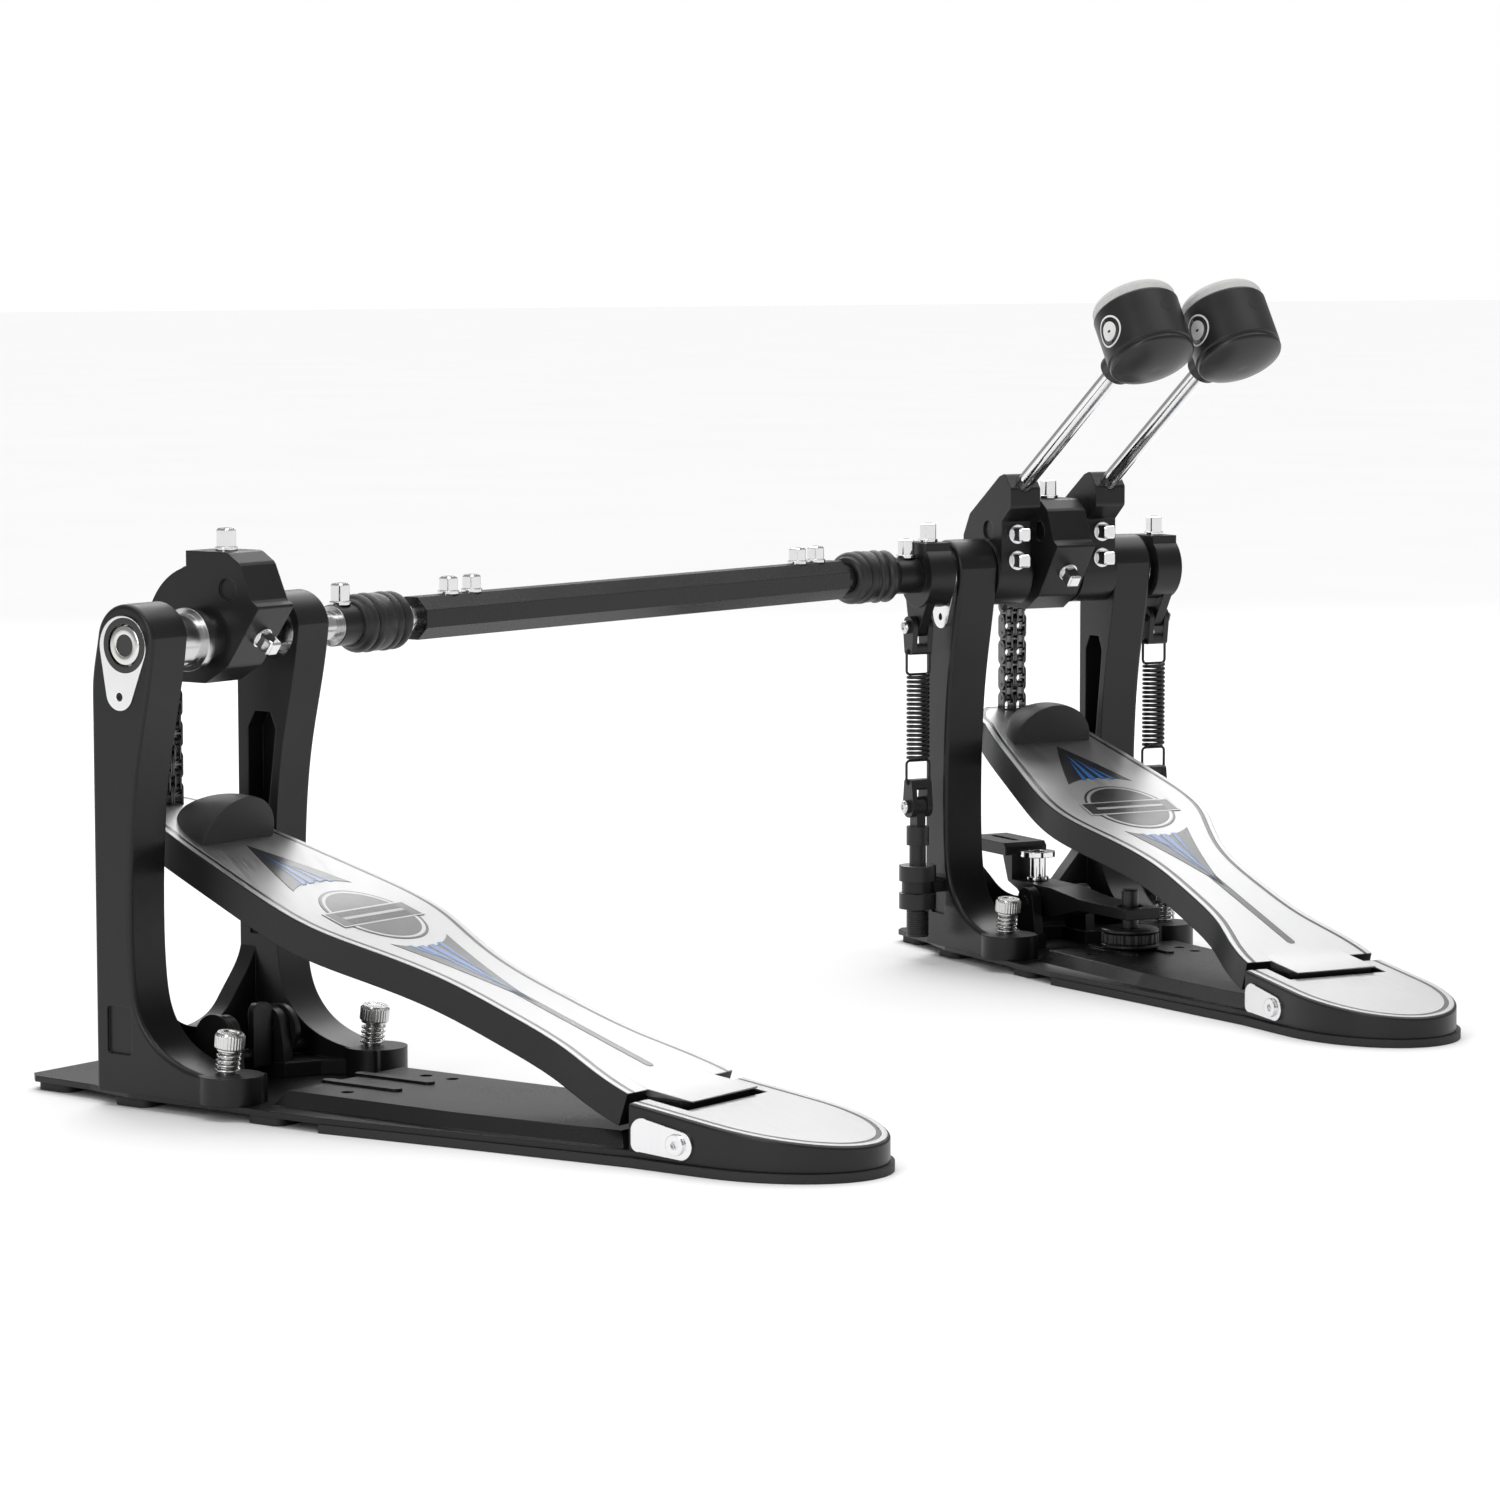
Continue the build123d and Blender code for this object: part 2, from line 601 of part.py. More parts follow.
def beater_head(x):
    """Black head body with a groove, a domed plastic face and a neck round the rod."""
    back = HEAD_BACK
    with BuildPart() as head:
        with BuildSketch(Plane.XZ):
            with BuildLine():
                Polyline((0, HEAD_FRONT), (HEAD_RADIUS - 0.8, HEAD_FRONT), (HEAD_RADIUS, HEAD_FRONT - 0.8),
                         (HEAD_RADIUS, back + 1.6), (HEAD_RADIUS - 0.9, back + 1.0), (HEAD_RADIUS - 0.9, back),
                         (HEAD_RADIUS - 0.2, back - 0.6))
                ThreePointArc((HEAD_RADIUS - 0.2, back - 0.6), (HEAD_RADIUS - 0.5, back - 2.0), (HEAD_RADIUS - 1.8, back - 3.0))
                ThreePointArc((HEAD_RADIUS - 1.8, back - 3.0), (11, back - 6.1), (3, back - 7.5))
                Polyline((3, back - 7.5), (0, back - 7.5), (0, HEAD_FRONT))
            make_face()
        revolve(axis=Axis.Z)
        with BuildSketch(Plane.XZ.offset(-12)):
            Circle(7.8)
        extrude(amount=-17)
        with BuildSketch(Plane.XZ.offset(-30)):
            Circle(ROD_RADIUS + RUNNING)
        extrude(amount=30 + HEAD_ROD_END + GAP, mode=Mode.SUBTRACT)
    return head_plane(x).location * head.part


def beater_felt(x):
    with BuildPart() as felt:
        with BuildSketch(Plane.XZ):
            with BuildLine():
                Polyline((0, HEAD_FRONT), (HEAD_RADIUS - 0.6, HEAD_FRONT), (HEAD_RADIUS - 0.6, HEAD_FRONT + 3))
                ThreePointArc((HEAD_RADIUS - 0.6, HEAD_FRONT + 3), (HEAD_RADIUS - 2.2, HEAD_FRONT + 5.4),
                              (14, HEAD_FRONT + 6.4))
                ThreePointArc((14, HEAD_FRONT + 6.4), (8.5, HEAD_FRONT + 7.5), (3, HEAD_FRONT + 8))
                Polyline((3, HEAD_FRONT + 8), (0, HEAD_FRONT + 8), (0, HEAD_FRONT))
            make_face()
        revolve(axis=Axis.Z)
    return head_plane(x).location * felt.part


def spring_lever(side):
    """Lever on the end of an axle: a clamp ring with an arm down to the spring's clevis."""
    with BuildPart() as lever:
        with BuildSketch(side_plane(side * LEVER_X - LEVER_HALF)):
            with Locations((0, AXLE_HEIGHT)):
                Circle(LEVER_RADIUS)
            with Locations((0, AXLE_HEIGHT + 10)):
                Rectangle(20, 11)
        extrude(amount=2 * LEVER_HALF)
        with BuildSketch(side_plane(side * SPRING_X - 2.4)):
            with Locations((0, AXLE_HEIGHT)):
                Circle(14)
            with Locations((SPRING_Y, CLEVIS_PIN_Z)):
                Circle(4.6)
            make_hull()
        extrude(amount=4.8)
        with BuildSketch(side_plane(side * LEVER_X - 9)):
            with Locations((0, AXLE_HEIGHT)):
                Circle(AXLE_RADIUS)
            with Locations((SPRING_Y, CLEVIS_PIN_Z)):
                Circle(2.0 + RUNNING)
        extrude(amount=18, mode=Mode.SUBTRACT)
    return lever.part


def clevis(side, pin_z, way):
    """Fork on a cross pin. Its ears straddle the lug at pin_z and its bridge lies way from it.

    The pin runs through the lever's bore at the top. At the bottom only its two ends are here,
    because the lower pivot is left open.
    """
    x = side * SPRING_X
    with BuildPart() as fork:
        for ear in (x - 5.4, x + 2.8):
            with BuildSketch(side_plane(ear)):
                with Locations((SPRING_Y, pin_z)):
                    Circle(5.2)
                with Locations((SPRING_Y, pin_z + way * 10.6)):
                    Rectangle(7.4, 3)
                make_hull()
            extrude(amount=2.6)
        with BuildSketch(side_plane(x - 5.4)):
            with Locations((SPRING_Y, pin_z + way * 10.6)):
                RectangleRounded(7.4, 5.0, 1.5)
            with Locations((SPRING_Y, pin_z + way * 10.6)):
                Circle(1.2, mode=Mode.SUBTRACT)
        extrude(amount=10.8)
        if way < 0:
            with BuildSketch(side_plane(x - 6.4)):
                with Locations((SPRING_Y, pin_z)):
                    Circle(2.0)
            extrude(amount=12.8)
        with BuildSketch(side_plane(x + side * 5.4)):
            with Locations((SPRING_Y, pin_z)):
                Circle(3.2)
        extrude(amount=side * 1.6)
    return fork.part


def tension_spring(side):
    """Envelope of the coil between the two clevises."""
    low = ANCHOR_PIN_Z + 14.5
    high = CLEVIS_PIN_Z - 14.5
    with BuildPart() as coil:
        with BuildSketch(Plane.XY.offset(low + 8)):
            with Locations((side * SPRING_X, SPRING_Y)):
                Circle(SPRING_RADIUS)
                Circle(SPRING_RADIUS - 1.7, mode=Mode.SUBTRACT)
        extrude(amount=high - low - 16)
        for z in (low, high - 8.02):
            with BuildSketch(Plane.XZ.offset(-SPRING_Y)):
                with Locations((side * SPRING_X, z + 4)):
                    Rectangle(9.2, 8)
                    Rectangle(6.4, 4.8, mode=Mode.SUBTRACT)
            extrude(amount=0.8, both=True)
    return coil.part


def spring_tensioners():
    """Threaded rod with its collar and lug on each side, held by two knurled nuts."""
    with BuildPart() as rods:
        for side in (-1, 1):
            x = side * SPRING_X
            with BuildSketch(Plane.XY.offset(11.5)):
                with Locations((x, SPRING_Y)):
                    Circle(4.0)
            extrude(amount=45)
            with BuildSketch(Plane.XY.offset(55.5)):
                with Locations((x, SPRING_Y)):
                    Circle(5.4)
            extrude(amount=9)
            with BuildSketch(side_plane(x - 2.3)):
                with Locations((SPRING_Y, ANCHOR_PIN_Z - 5)):
                    Rectangle(7, 10)
            extrude(amount=4.6)
            with BuildSketch(side_plane(x - 2.4)):
                with Locations((SPRING_Y, ANCHOR_PIN_Z)):
                    Circle(4.7)
            extrude(amount=4.8)
            with BuildSketch(Plane.XY.offset(11.5)):
                with Locations((x, SPRING_Y)):
                    Circle(5.2)
            extrude(amount=12.5)
        for side in (-1, 1):
            for z in (25.0, 38.3):
                with BuildSketch(Plane.XY.offset(z)):
                    with Locations((side * SPRING_X, SPRING_Y)):
                        Circle(8.9)
                extrude(amount=7.4)
    return rods.part


# ---- hoop clamp -----------------------------------------------------------------
def clamp_rocker():
    """Rocking arm: its jaw presses the drum hoop, its tail is lifted by the knob."""
    with BuildPart() as rocker:
        with BuildSketch(side_plane(-9)):
            with BuildLine():
                Polyline((52, 46), (52, 52), (16, 52), (12, 47), (12, 34.5), (-24, 34.5), (-50, 32), (-94, 32),
                         (-94, 27), (-50, 26.5), (-22, 19.5), (-8, 19.5), (7, 30.5), (16, 33.5), (21, 46), close=True)
            make_face()
        extrude(amount=18)
        with BuildSketch(side_plane(-11.5)):
            with BuildLine():
                Polyline((52, 46), (52, 52), (16, 52), (14, 50), (14, 46), close=True)
            make_face()
        extrude(amount=23)
        with BuildSketch(Plane.XY.offset(15)):
            with Locations((0, KNOB_Y)):
                Circle(6.5)
        extrude(amount=30, mode=Mode.SUBTRACT)
        with BuildSketch(Plane.XY.offset(47)):
            with Locations((0, 34)):
                SlotOverall(24, 4, rotation=90)
        extrude(amount=6, mode=Mode.SUBTRACT)
        with BuildSketch(side_plane(-17.5)):
            with Locations((CLAMP_Y, CLAMP_Z)):
                Circle(3)
        extrude(amount=35)
    return rocker.part


def clamp_thumb_bolt():
    """Chrome bolt with a round flange, standing on the rocker behind the jaw."""
    with BuildPart() as bolt:
        with BuildSketch(Plane.XZ):
            with BuildLine():
                Polyline((0, 0), (5.4, 0), (5.4, 1.6), (4.0, 1.6), (4.0, 11), (8.5, 11.4), (8.5, 14), (0, 14), close=True)
            make_face()
        revolve(axis=Axis.Z)
        with BuildSketch(Plane.XY.offset(14)):
            Rectangle(KEY_SQUARE, KEY_SQUARE)
        extrude(amount=-3, mode=Mode.SUBTRACT)
    return Location((0, THUMB_Y, 34.5 + GAP)) * bolt.part


def clamp_knob():
    """Ribbed knob on an upright screw that carries the rocker's tail."""
    with BuildPart() as knob:
        low = DECK_TOP + RIB_HEIGHT + GAP
        with BuildSketch(Plane.XY.offset(low)):
            Circle(13.6)
        extrude(amount=9.0)
        chamfer(knob.edges().filter_by(GeomType.CIRCLE), 1.0)
        with BuildSketch(Plane.XY.offset(low)):
            Circle(4)
        extrude(amount=27)
    return Location((0, KNOB_Y, 0)) * knob.part


# ---- drive shaft ------------------------------------------------------------------
slave_joint = Location((*SLAVE_FROM_PRIMARY, 0), (0, 0, SLAVE_YAW)) * Location((SLAVE_JOINT_X, 0, AXLE_HEIGHT))
joint_start = slave_joint.position
joint_end = Vector(PRIMARY_JOINT_X, 0, AXLE_HEIGHT)
shaft_direction = (joint_end - joint_start).normalized()
SHAFT_LENGTH = (joint_end - joint_start).length
shaft_plane = Plane(origin=joint_start, x_dir=(0, 0, 1), z_dir=shaft_direction)


def shaft_plane_at(distance):
    return shaft_plane.offset(distance)


def drive_tube():
    """Faceted tube, clamped on the stem at one end, with a neck for the boot at the other."""
    with BuildPart() as tube:
        with BuildSketch(shaft_plane_at(24)):
            RegularPolygon(SHAFT_RADIUS, 8, major_radius=False, rotation=22.5)
            Circle(STEM_RADIUS + RUNNING, mode=Mode.SUBTRACT)
        extrude(amount=TUBE_LENGTH)
        with BuildSketch(shaft_plane_at(SHAFT_LENGTH - 60)):
            Circle(STEM_RADIUS + RUNNING)
        extrude(amount=60 - BOOT_HALF)
        with BuildSketch(shaft_plane_at(24 + TUBE_LENGTH)):
            Circle(BOOT_NECK)
        extrude(amount=SHAFT_LENGTH - BOOT_HALF - 24 - TUBE_LENGTH + 4)
        with BuildSketch(shaft_plane_at(SHAFT_LENGTH - BOOT_HALF)):
            Rectangle(5, 10)
        extrude(amount=BOOT_HALF - 5)
    return tube.part


def drive_stem():
    """Round stem on the slave's side that slides in the tube."""
    with BuildPart() as stem:
        with BuildSketch(shaft_plane_at(BOOT_HALF)):
            Circle(STEM_RADIUS)
        extrude(amount=110)
        with BuildSketch(shaft_plane_at(BOOT_HALF - 4)):
            Circle(BOOT_NECK)
        extrude(amount=8)
        with BuildSketch(shaft_plane_at(5)):
            Rectangle(5, 10)
        extrude(amount=BOOT_HALF - 5)
    return stem.part


def boot_half(place, neck_radius):
    """Half of a bellows boot, from the joint's middle out to its neck along the place's Z."""
    with BuildPart() as bellows:
        with BuildSketch(Plane.XZ):
            with BuildLine():
                points = [(9.6, BOOT_START)]
                for fold in range(2):
                    z = BOOT_START + fold * 5.6
                    crest = BOOT_RADIUS - 0.7 * fold
                    points += [(crest - 0.6, z), (crest, z + 1.0), (crest, z + 3.2), (10.7, z + 4.2), (10.7, z + 5.6)]
                points += [(10.0, BOOT_HALF - 0.8), (9.4, BOOT_HALF), (neck_radius, BOOT_HALF)]
                points += [(neck_radius, BOOT_HALF - 2), (9.6, BOOT_HALF - 3.5)]
                Polyline(*points, close=True)
            make_face()
        revolve(axis=Axis.Z)
    return place * bellows.part


def axle_yoke_place(x, way):
    """Place at a universal joint whose Z runs back along the axle that it drives."""
    return Plane(origin=(x, 0, AXLE_HEIGHT), x_dir=(0, 0, 1), z_dir=(way, 0, 0)).location


def yoked_axle(left, right, joint_x, yoke_length, rings=(), collar=()):
    """An axle with a collar and a fork on the end next to a universal joint."""
    way = -1 if joint_x > 0 else 1
    with BuildPart() as whole:
        add(axle(left, right, rings, collar))
        with BuildSketch(side_plane(joint_x + way * (BOOT_HALF - 4))):
            with Locations((0, AXLE_HEIGHT)):
                Circle(YOKE_RADIUS)
        extrude(amount=way * yoke_length)
        with BuildSketch(side_plane(joint_x + way * 5)):
            with Locations((0, AXLE_HEIGHT)):
                Rectangle(10, 5)
        extrude(amount=way * (BOOT_HALF - 5))
    return whole.part


# ---- bolts that belong together -----------------------------------------------------
def group_of_bolts(places, head=9.0):
    with BuildPart() as group:
        for place in places:
            add(key_bolt(place, head))
    return group.part


h = AXLE_HEIGHT
cam_bolts = [bolt_place(0, -5.4, h + 35, (0, 1)), bolt_place(0, -23.25, h + 1.25, (-24.5, -17.5))]


def hub_bolts(x):
    return [bolt_place(x, -15.5, h + 19, (-1, 0)), bolt_place(x, -15.5, h + 6.5, (-1, 0))]


def shaft_bolt_place(distance):
    foot = shaft_plane.from_local_coords((SHAFT_RADIUS, 0, distance))
    return Plane(origin=foot, x_dir=shaft_direction, z_dir=(0, 0, 1)).location


# ---- both pedals --------------------------------------------------------------------
for name, place, is_primary in (("primary", primary, True), ("slave", slave, False)):
    save(base_plate(), f"{name}_base_plate", place)
    save(rubber_sole(), f"{name}_rubber_sole", place)
    save(post_frame(is_primary), f"{name}_post_frame", place)
    save(heel_block(), f"{name}_heel_block", place)
    save(hinge_covers(), f"{name}_hinge_covers", place)
    save(bearing_housings(), f"{name}_bearing_housings", place)
    save(spur(-SPUR_X), f"{name}_spur_left", place)
    save(spur(SPUR_X), f"{name}_spur_right", place)
    save(footboard(), f"{name}_footboard", place)
    save(toe_stop(), f"{name}_toe_stop", place)
    save(chain(), f"{name}_chain", place)
    save(chain_top_link(), f"{name}_chain_top_link", place)
    save(cam(), f"{name}_cam", place)

# ---- axles and what they carry --------------------------------------------------------
RIGHT_AXLE = (-CAM_HALF_WIDTH, LEVER_X + LEVER_HALF + 2)
LEFT_AXLE = (PRIMARY_JOINT_X + 28, -CAM_HALF_WIDTH - GAP)
SLAVE_AXLE = (-POST_OUTER - 0.5, SLAVE_JOINT_X - 27)
SLAVE_COLLAR = ((-32.9, 22.4, COLLAR_RADIUS), (-19, 4, 12.8))
save(axle(*RIGHT_AXLE, rings=(POST_INNER + 5,)), "primary_axle", primary)
save(yoked_axle(*LEFT_AXLE, PRIMARY_JOINT_X, 16.4, rings=(-POST_INNER - 19,)), "left_axle", primary)
save(yoked_axle(*SLAVE_AXLE, SLAVE_JOINT_X, 16.0, rings=(-POST_INNER - 19, POST_INNER + 5), collar=SLAVE_COLLAR),
     "slave_axle", slave)
for name, side in (("left", -1), ("right", 1)):
    x = side * BEATER_X
    save(hub(x), f"{name}_hub", primary)
    save(beater_rod(x), f"{name}_beater_rod", primary)
    save(beater_head(x), f"{name}_beater_head", primary)
    save(beater_felt(x), f"{name}_beater_felt", primary)
    save(spring_lever(side), f"{name}_lever", primary)
    save(clevis(side, CLEVIS_PIN_Z, -1), f"{name}_upper_clevis", primary)
    save(clevis(side, ANCHOR_PIN_Z, 1), f"{name}_lower_clevis", primary)
    save(tension_spring(side), f"{name}_spring", primary)
lever_bolt = [bolt_place(side * LEVER_X, 0, h + LEVER_RADIUS, (0, 1)) for side in (-1, 1)]
yoke_bolts = [bolt_place(x, 0, h + YOKE_RADIUS, (0, 1)) for x in (-LEVER_X - 11.9, SLAVE_JOINT_X - 20.6)]
save(group_of_bolts([*hub_bolts(BEATER_X), lever_bolt[1], *cam_bolts]), "right_key_bolts", primary)
save(group_of_bolts([*hub_bolts(-BEATER_X), lever_bolt[0], yoke_bolts[0]]), "left_key_bolts", primary)
save(group_of_bolts([*cam_bolts, yoke_bolts[1]]), "slave_key_bolts", slave)
save(spring_tensioners(), "spring_tensioners", primary)

# ---- hoop clamp and drive shaft -------------------------------------------------------
save(clamp_rocker(), "clamp_rocker", primary)
save(clamp_thumb_bolt(), "clamp_thumb_bolt", primary)
save(clamp_knob(), "clamp_knob", primary)
save(drive_tube(), "drive_tube", primary)
save(drive_stem(), "drive_stem", primary)
save(group_of_bolts([shaft_bolt_place(d) for d in (48, 63, 293, 307)], 7.5), "drive_key_bolts", primary)
save(boot_half(shaft_plane.location, BOOT_NECK), "stem_boot", primary)
back_along_shaft = Plane(origin=joint_end, x_dir=(0, 0, 1), z_dir=-shaft_direction)
save(boot_half(back_along_shaft.location, BOOT_NECK), "tube_boot", primary)
save(boot_half(axle_yoke_place(SLAVE_JOINT_X, -1), YOKE_RADIUS), "slave_boot", slave)
save(boot_half(axle_yoke_place(PRIMARY_JOINT_X, 1), YOKE_RADIUS), "left_axle_boot", primary)
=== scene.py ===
# %% [markdown]
# # A double bass drum pedal, dressed for its portrait
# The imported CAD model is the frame: every casting, axle and hinge is already in its place.
# This lesson gives those parts their finishes, and adds the pieces that are easier to make as
# meshes, such as the roller chains, coil springs, bellows boots, knurls and the silver tops.

# %% The frame
import json
import math

import bmesh
import bpy
from mathutils import Matrix, Vector


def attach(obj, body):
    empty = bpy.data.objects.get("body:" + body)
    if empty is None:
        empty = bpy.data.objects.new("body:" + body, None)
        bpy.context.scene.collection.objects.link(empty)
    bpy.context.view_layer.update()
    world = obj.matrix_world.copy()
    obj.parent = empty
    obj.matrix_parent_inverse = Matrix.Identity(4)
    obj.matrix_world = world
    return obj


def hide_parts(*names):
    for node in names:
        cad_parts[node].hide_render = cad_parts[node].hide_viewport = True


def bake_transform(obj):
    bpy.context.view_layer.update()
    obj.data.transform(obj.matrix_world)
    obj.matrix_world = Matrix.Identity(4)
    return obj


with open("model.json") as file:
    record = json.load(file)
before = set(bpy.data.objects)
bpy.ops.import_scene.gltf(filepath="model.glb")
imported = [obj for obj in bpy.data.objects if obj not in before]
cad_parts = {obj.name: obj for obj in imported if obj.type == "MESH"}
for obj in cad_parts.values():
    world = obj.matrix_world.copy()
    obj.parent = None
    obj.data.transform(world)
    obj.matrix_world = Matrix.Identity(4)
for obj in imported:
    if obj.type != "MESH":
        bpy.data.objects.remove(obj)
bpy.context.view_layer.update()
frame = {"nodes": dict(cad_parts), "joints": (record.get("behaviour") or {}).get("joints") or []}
nodes = frame["nodes"]
joints = {joint["name"]: joint for joint in frame["joints"]}

# %% [markdown]
# ## Where things are
# Both pedals are the same design, so each piece is made once in the pedal's own millimetres:
# X along its axle, Y towards the drum, Z up from the floor under the axle. The two axle joints
# in the frame say where each pedal stands and which way it is turned.

# %% Two pedals, one set of millimetres
MM = 0.001
AXLE = joints["primary_axle_turn"]["pos_m"][2] / MM


def pedal_place(axle_joint):
    joint = joints[axle_joint]
    to_left = Vector(joint["axis"])
    yaw = math.atan2(-to_left.y, -to_left.x)
    x, y, _ = joint["pos_m"]
    return Matrix.Translation((x, y, 0)) @ Matrix.Rotation(yaw, 4, "Z") @ Matrix.Scale(MM, 4)


PEDALS = {"primary": pedal_place("primary_axle_turn"), "slave": pedal_place("slave_axle_turn")}
PRIMARY = PEDALS["primary"]


def turned(about, degrees, at=(0, 0, 0)):
    """A turn about one axis through a point."""
    return Matrix.Translation(at) @ Matrix.Rotation(math.radians(degrees), 4, about)


BOARD_SLOPE = 18.8
BOARD_START = Vector((0, -233, 26.5))
BOARD = turned("X", BOARD_SLOPE, BOARD_START)
print("primary at", PRIMARY.translation, "slave at", PEDALS["slave"].translation)

# %% [markdown]
# ## Shader maths as sums
# A material is a small program made of nodes. Written one node at a time it is hard to read, so
# `Level` wraps a node's output and lets it be added, multiplied and compared with plain symbols,
# and `Finish` makes any node with one call.


# %% A socket that can be added and multiplied
class Level:
    def __init__(self, finish, socket):
        self.finish = finish
        self.socket = socket

    def math(self, operation, *others, flip=False):
        values = [self, *others]
        if flip:
            values.reverse()
        return self.finish.node("Math", {"operation": operation}, dict(enumerate(values)))

    def __add__(self, other):
        return self.math("ADD", other)

    __radd__ = __add__

    def __mul__(self, other):
        return self.math("MULTIPLY", other)

    __rmul__ = __mul__

    def __sub__(self, other):
        return self.math("SUBTRACT", other)

    def __rsub__(self, other):
        return self.math("SUBTRACT", other, flip=True)

    def __truediv__(self, other):
        return self.math("DIVIDE", other)

    def __pow__(self, other):
        return self.math("POWER", other)

    def __abs__(self):
        return self.math("ABSOLUTE")

    def above(self, edge, soft=0.0001):
        """0 below edge and 1 above it, with a short ramp between."""
        return self.finish.node(
            "MapRange", {"clamp": True}, {0: self, 1: edge - soft, 2: edge + soft, 3: 0.0, 4: 1.0})


class Finish:
    def __init__(self, name):
        self.material = bpy.data.materials.new(name)
        self.material.use_nodes = True
        self.tree = self.material.node_tree
        self.tree.nodes.clear()
        self.shader = self.tree.nodes.new("ShaderNodeBsdfPrincipled")
        output = self.tree.nodes.new("ShaderNodeOutputMaterial")
        self.tree.links.new(self.shader.outputs[0], output.inputs[0])

    def node(self, kind, settings=None, values=None, out=0):
        made = self.tree.nodes.new("ShaderNode" + kind)
        for key, value in (settings or {}).items():
            if key == "stops":
                self.set_stops(made.color_ramp, value)
            else:
                setattr(made, key, value)
        for key, value in (values or {}).items():
            self.feed(made.inputs[key], value)
        return Level(self, made.outputs[out])

    def set_stops(self, ramp, stops):
        while len(ramp.elements) < len(stops):
            ramp.elements.new(0.5)
        for element, (place, colour) in zip(ramp.elements, stops):
            element.position = place
            element.color = (*colour, 1)

    def feed(self, socket, value):
        if isinstance(value, Level):
            self.tree.links.new(value.socket, socket)
        elif socket.type == "RGBA" and len(value) == 3:
            socket.default_value = (*value, 1)
        else:
            socket.default_value = value

    def set(self, **values):
        for key, value in values.items():
            self.feed(self.shader.inputs[key.replace("_", " ")], value)
        return self

    def place(self, turn=(0, 0, 0), scale=(1, 1, 1), shift=(0, 0, 0)):
        """Object coordinates, turned, moved and scaled."""
        where = self.node("TexCoord", out=3)
        return self.node(
            "Mapping", None,
            {"Vector": where, "Rotation": [math.radians(a) for a in turn], "Scale": scale,
             "Location": shift})

    def noise(self, where, scale, detail=3.0, rough=0.55, lean=0.0):
        return self.node("TexNoise", None, {"Vector": where, "Scale": scale, "Detail": detail,
                                            "Roughness": rough, "Distortion": lean})

    def mix(self, factor, low, high):
        """A colour between two, by a factor."""
        return self.node("Mix", {"data_type": "RGBA"}, {0: factor, 6: low, 7: high}, out=2)

    def bump(self, height, depth, strength=1.0, round_edges=0.0):
        """Normals from a height in metres, over edges that are rounded by a radius."""
        values = {"Height": height, "Distance": depth, "Strength": strength}
        if round_edges:
            values["Normal"] = self.node("Bevel", {"samples": 6}, {"Radius": round_edges})
        return self.node("Bump", None, values)


# %% [markdown]
# ## Black finishes
# The castings are powder coated: nearly black, with a fine pebbled skin that breaks up the
# highlight. Pressed sheet is smoother. Cycles can round a sharp CAD edge in the shading alone with
# a Bevel node, which catches a thin line of light along every edge as real castings do.


# %% Powder coat, satin paint and blackened steel
def powder_coat(name, tint, rough, pebble=0.00004, edge=0.0007):
    f = Finish(name)
    where = f.place()
    skin = f.noise(where, 1500, detail=2)
    cloud = f.noise(where, 18, detail=4)
    rub = f.noise(where, 120, detail=5)
    f.set(Base_Color=f.mix(cloud * 0.6 + rub * 0.4, [c * 0.7 for c in tint],
                           [c * 1.5 for c in tint]),
          Roughness=rough + (cloud - 0.5) * 0.16 + (skin - 0.5) * 0.1,
          Specular_IOR_Level=0.38,
          Normal=f.bump(skin, pebble, round_edges=edge))
    return f.material


BLACK = (0.007, 0.007, 0.0075)
casting_black = powder_coat("powder_coated_casting", BLACK, 0.36)
plate_black = powder_coat("satin_black_plate", BLACK, 0.3, pebble=0.00002, edge=0.0005)
tube_black = powder_coat("satin_black_tube", BLACK, 0.27, pebble=0.000015, edge=0.0004)
steel_black = powder_coat("blackened_steel", (0.016, 0.016, 0.017), 0.34, pebble=0.00002,
                          edge=0.0003)
print("black finishes ready")

# %% [markdown]
# ## Bright finishes
# The tops are brushed along their length: noise stretched a hundred times in one direction makes
# the hairlines, both in roughness and as a shallow bump. Chrome gets faint smudges, because a
# perfect mirror looks drawn. Turned steel has rings across its axis.


# %% Brushed, polished, chromed and turned metal
def bright_metal(name, tint, rough, grain=(1, 1, 1), grain_scale=900, depth=0.00002, edge=0.0004,
                 turn=(0, 0, 0)):
    f = Finish(name)
    where = f.place(turn=turn, scale=grain)
    hair = f.noise(where, grain_scale, detail=4, rough=0.7)
    smudge = f.noise(f.place(), 40, detail=5)
    f.set(Base_Color=f.mix(hair * 0.5 + smudge * 0.5, [c * 0.82 for c in tint],
                           [min(c * 1.1, 1) for c in tint]),
          Metallic=1.0,
          Roughness=rough + (hair - 0.5) * rough * 0.9 + (smudge - 0.5) * 0.08,
          Normal=f.bump(hair, depth, round_edges=edge))
    return f.material


slave_yaw = math.degrees(math.atan2(PEDALS["slave"][1][0], PEDALS["slave"][0][0]))
brushed_top = {
    "primary": bright_metal("brushed_silver_top", (0.47, 0.47, 0.475), 0.38, grain=(1, 0.02, 0.02),
                            grain_scale=1400),
    "slave": bright_metal("brushed_silver_top_slave", (0.47, 0.47, 0.475), 0.38,
                          grain=(1, 0.02, 0.02),
                          grain_scale=1400, turn=(0, 0, -slave_yaw))}
polished = bright_metal("polished_aluminium", (0.86, 0.86, 0.87), 0.16, grain=(1, 1, 0.03))
chrome = bright_metal("bright_chrome", (0.82, 0.82, 0.83), 0.07, grain_scale=300, depth=0.000004,
                      edge=0.0005)
nickel = bright_metal("knurled_nickel", (0.7, 0.7, 0.69), 0.22, grain_scale=1600)
turned_steel = bright_metal("turned_steel", (0.66, 0.66, 0.66), 0.2, grain=(1, 0.03, 0.03),
                            grain_scale=1500)
chain_steel = bright_metal("oiled_chain_steel", (0.16, 0.16, 0.165), 0.28, grain_scale=700)
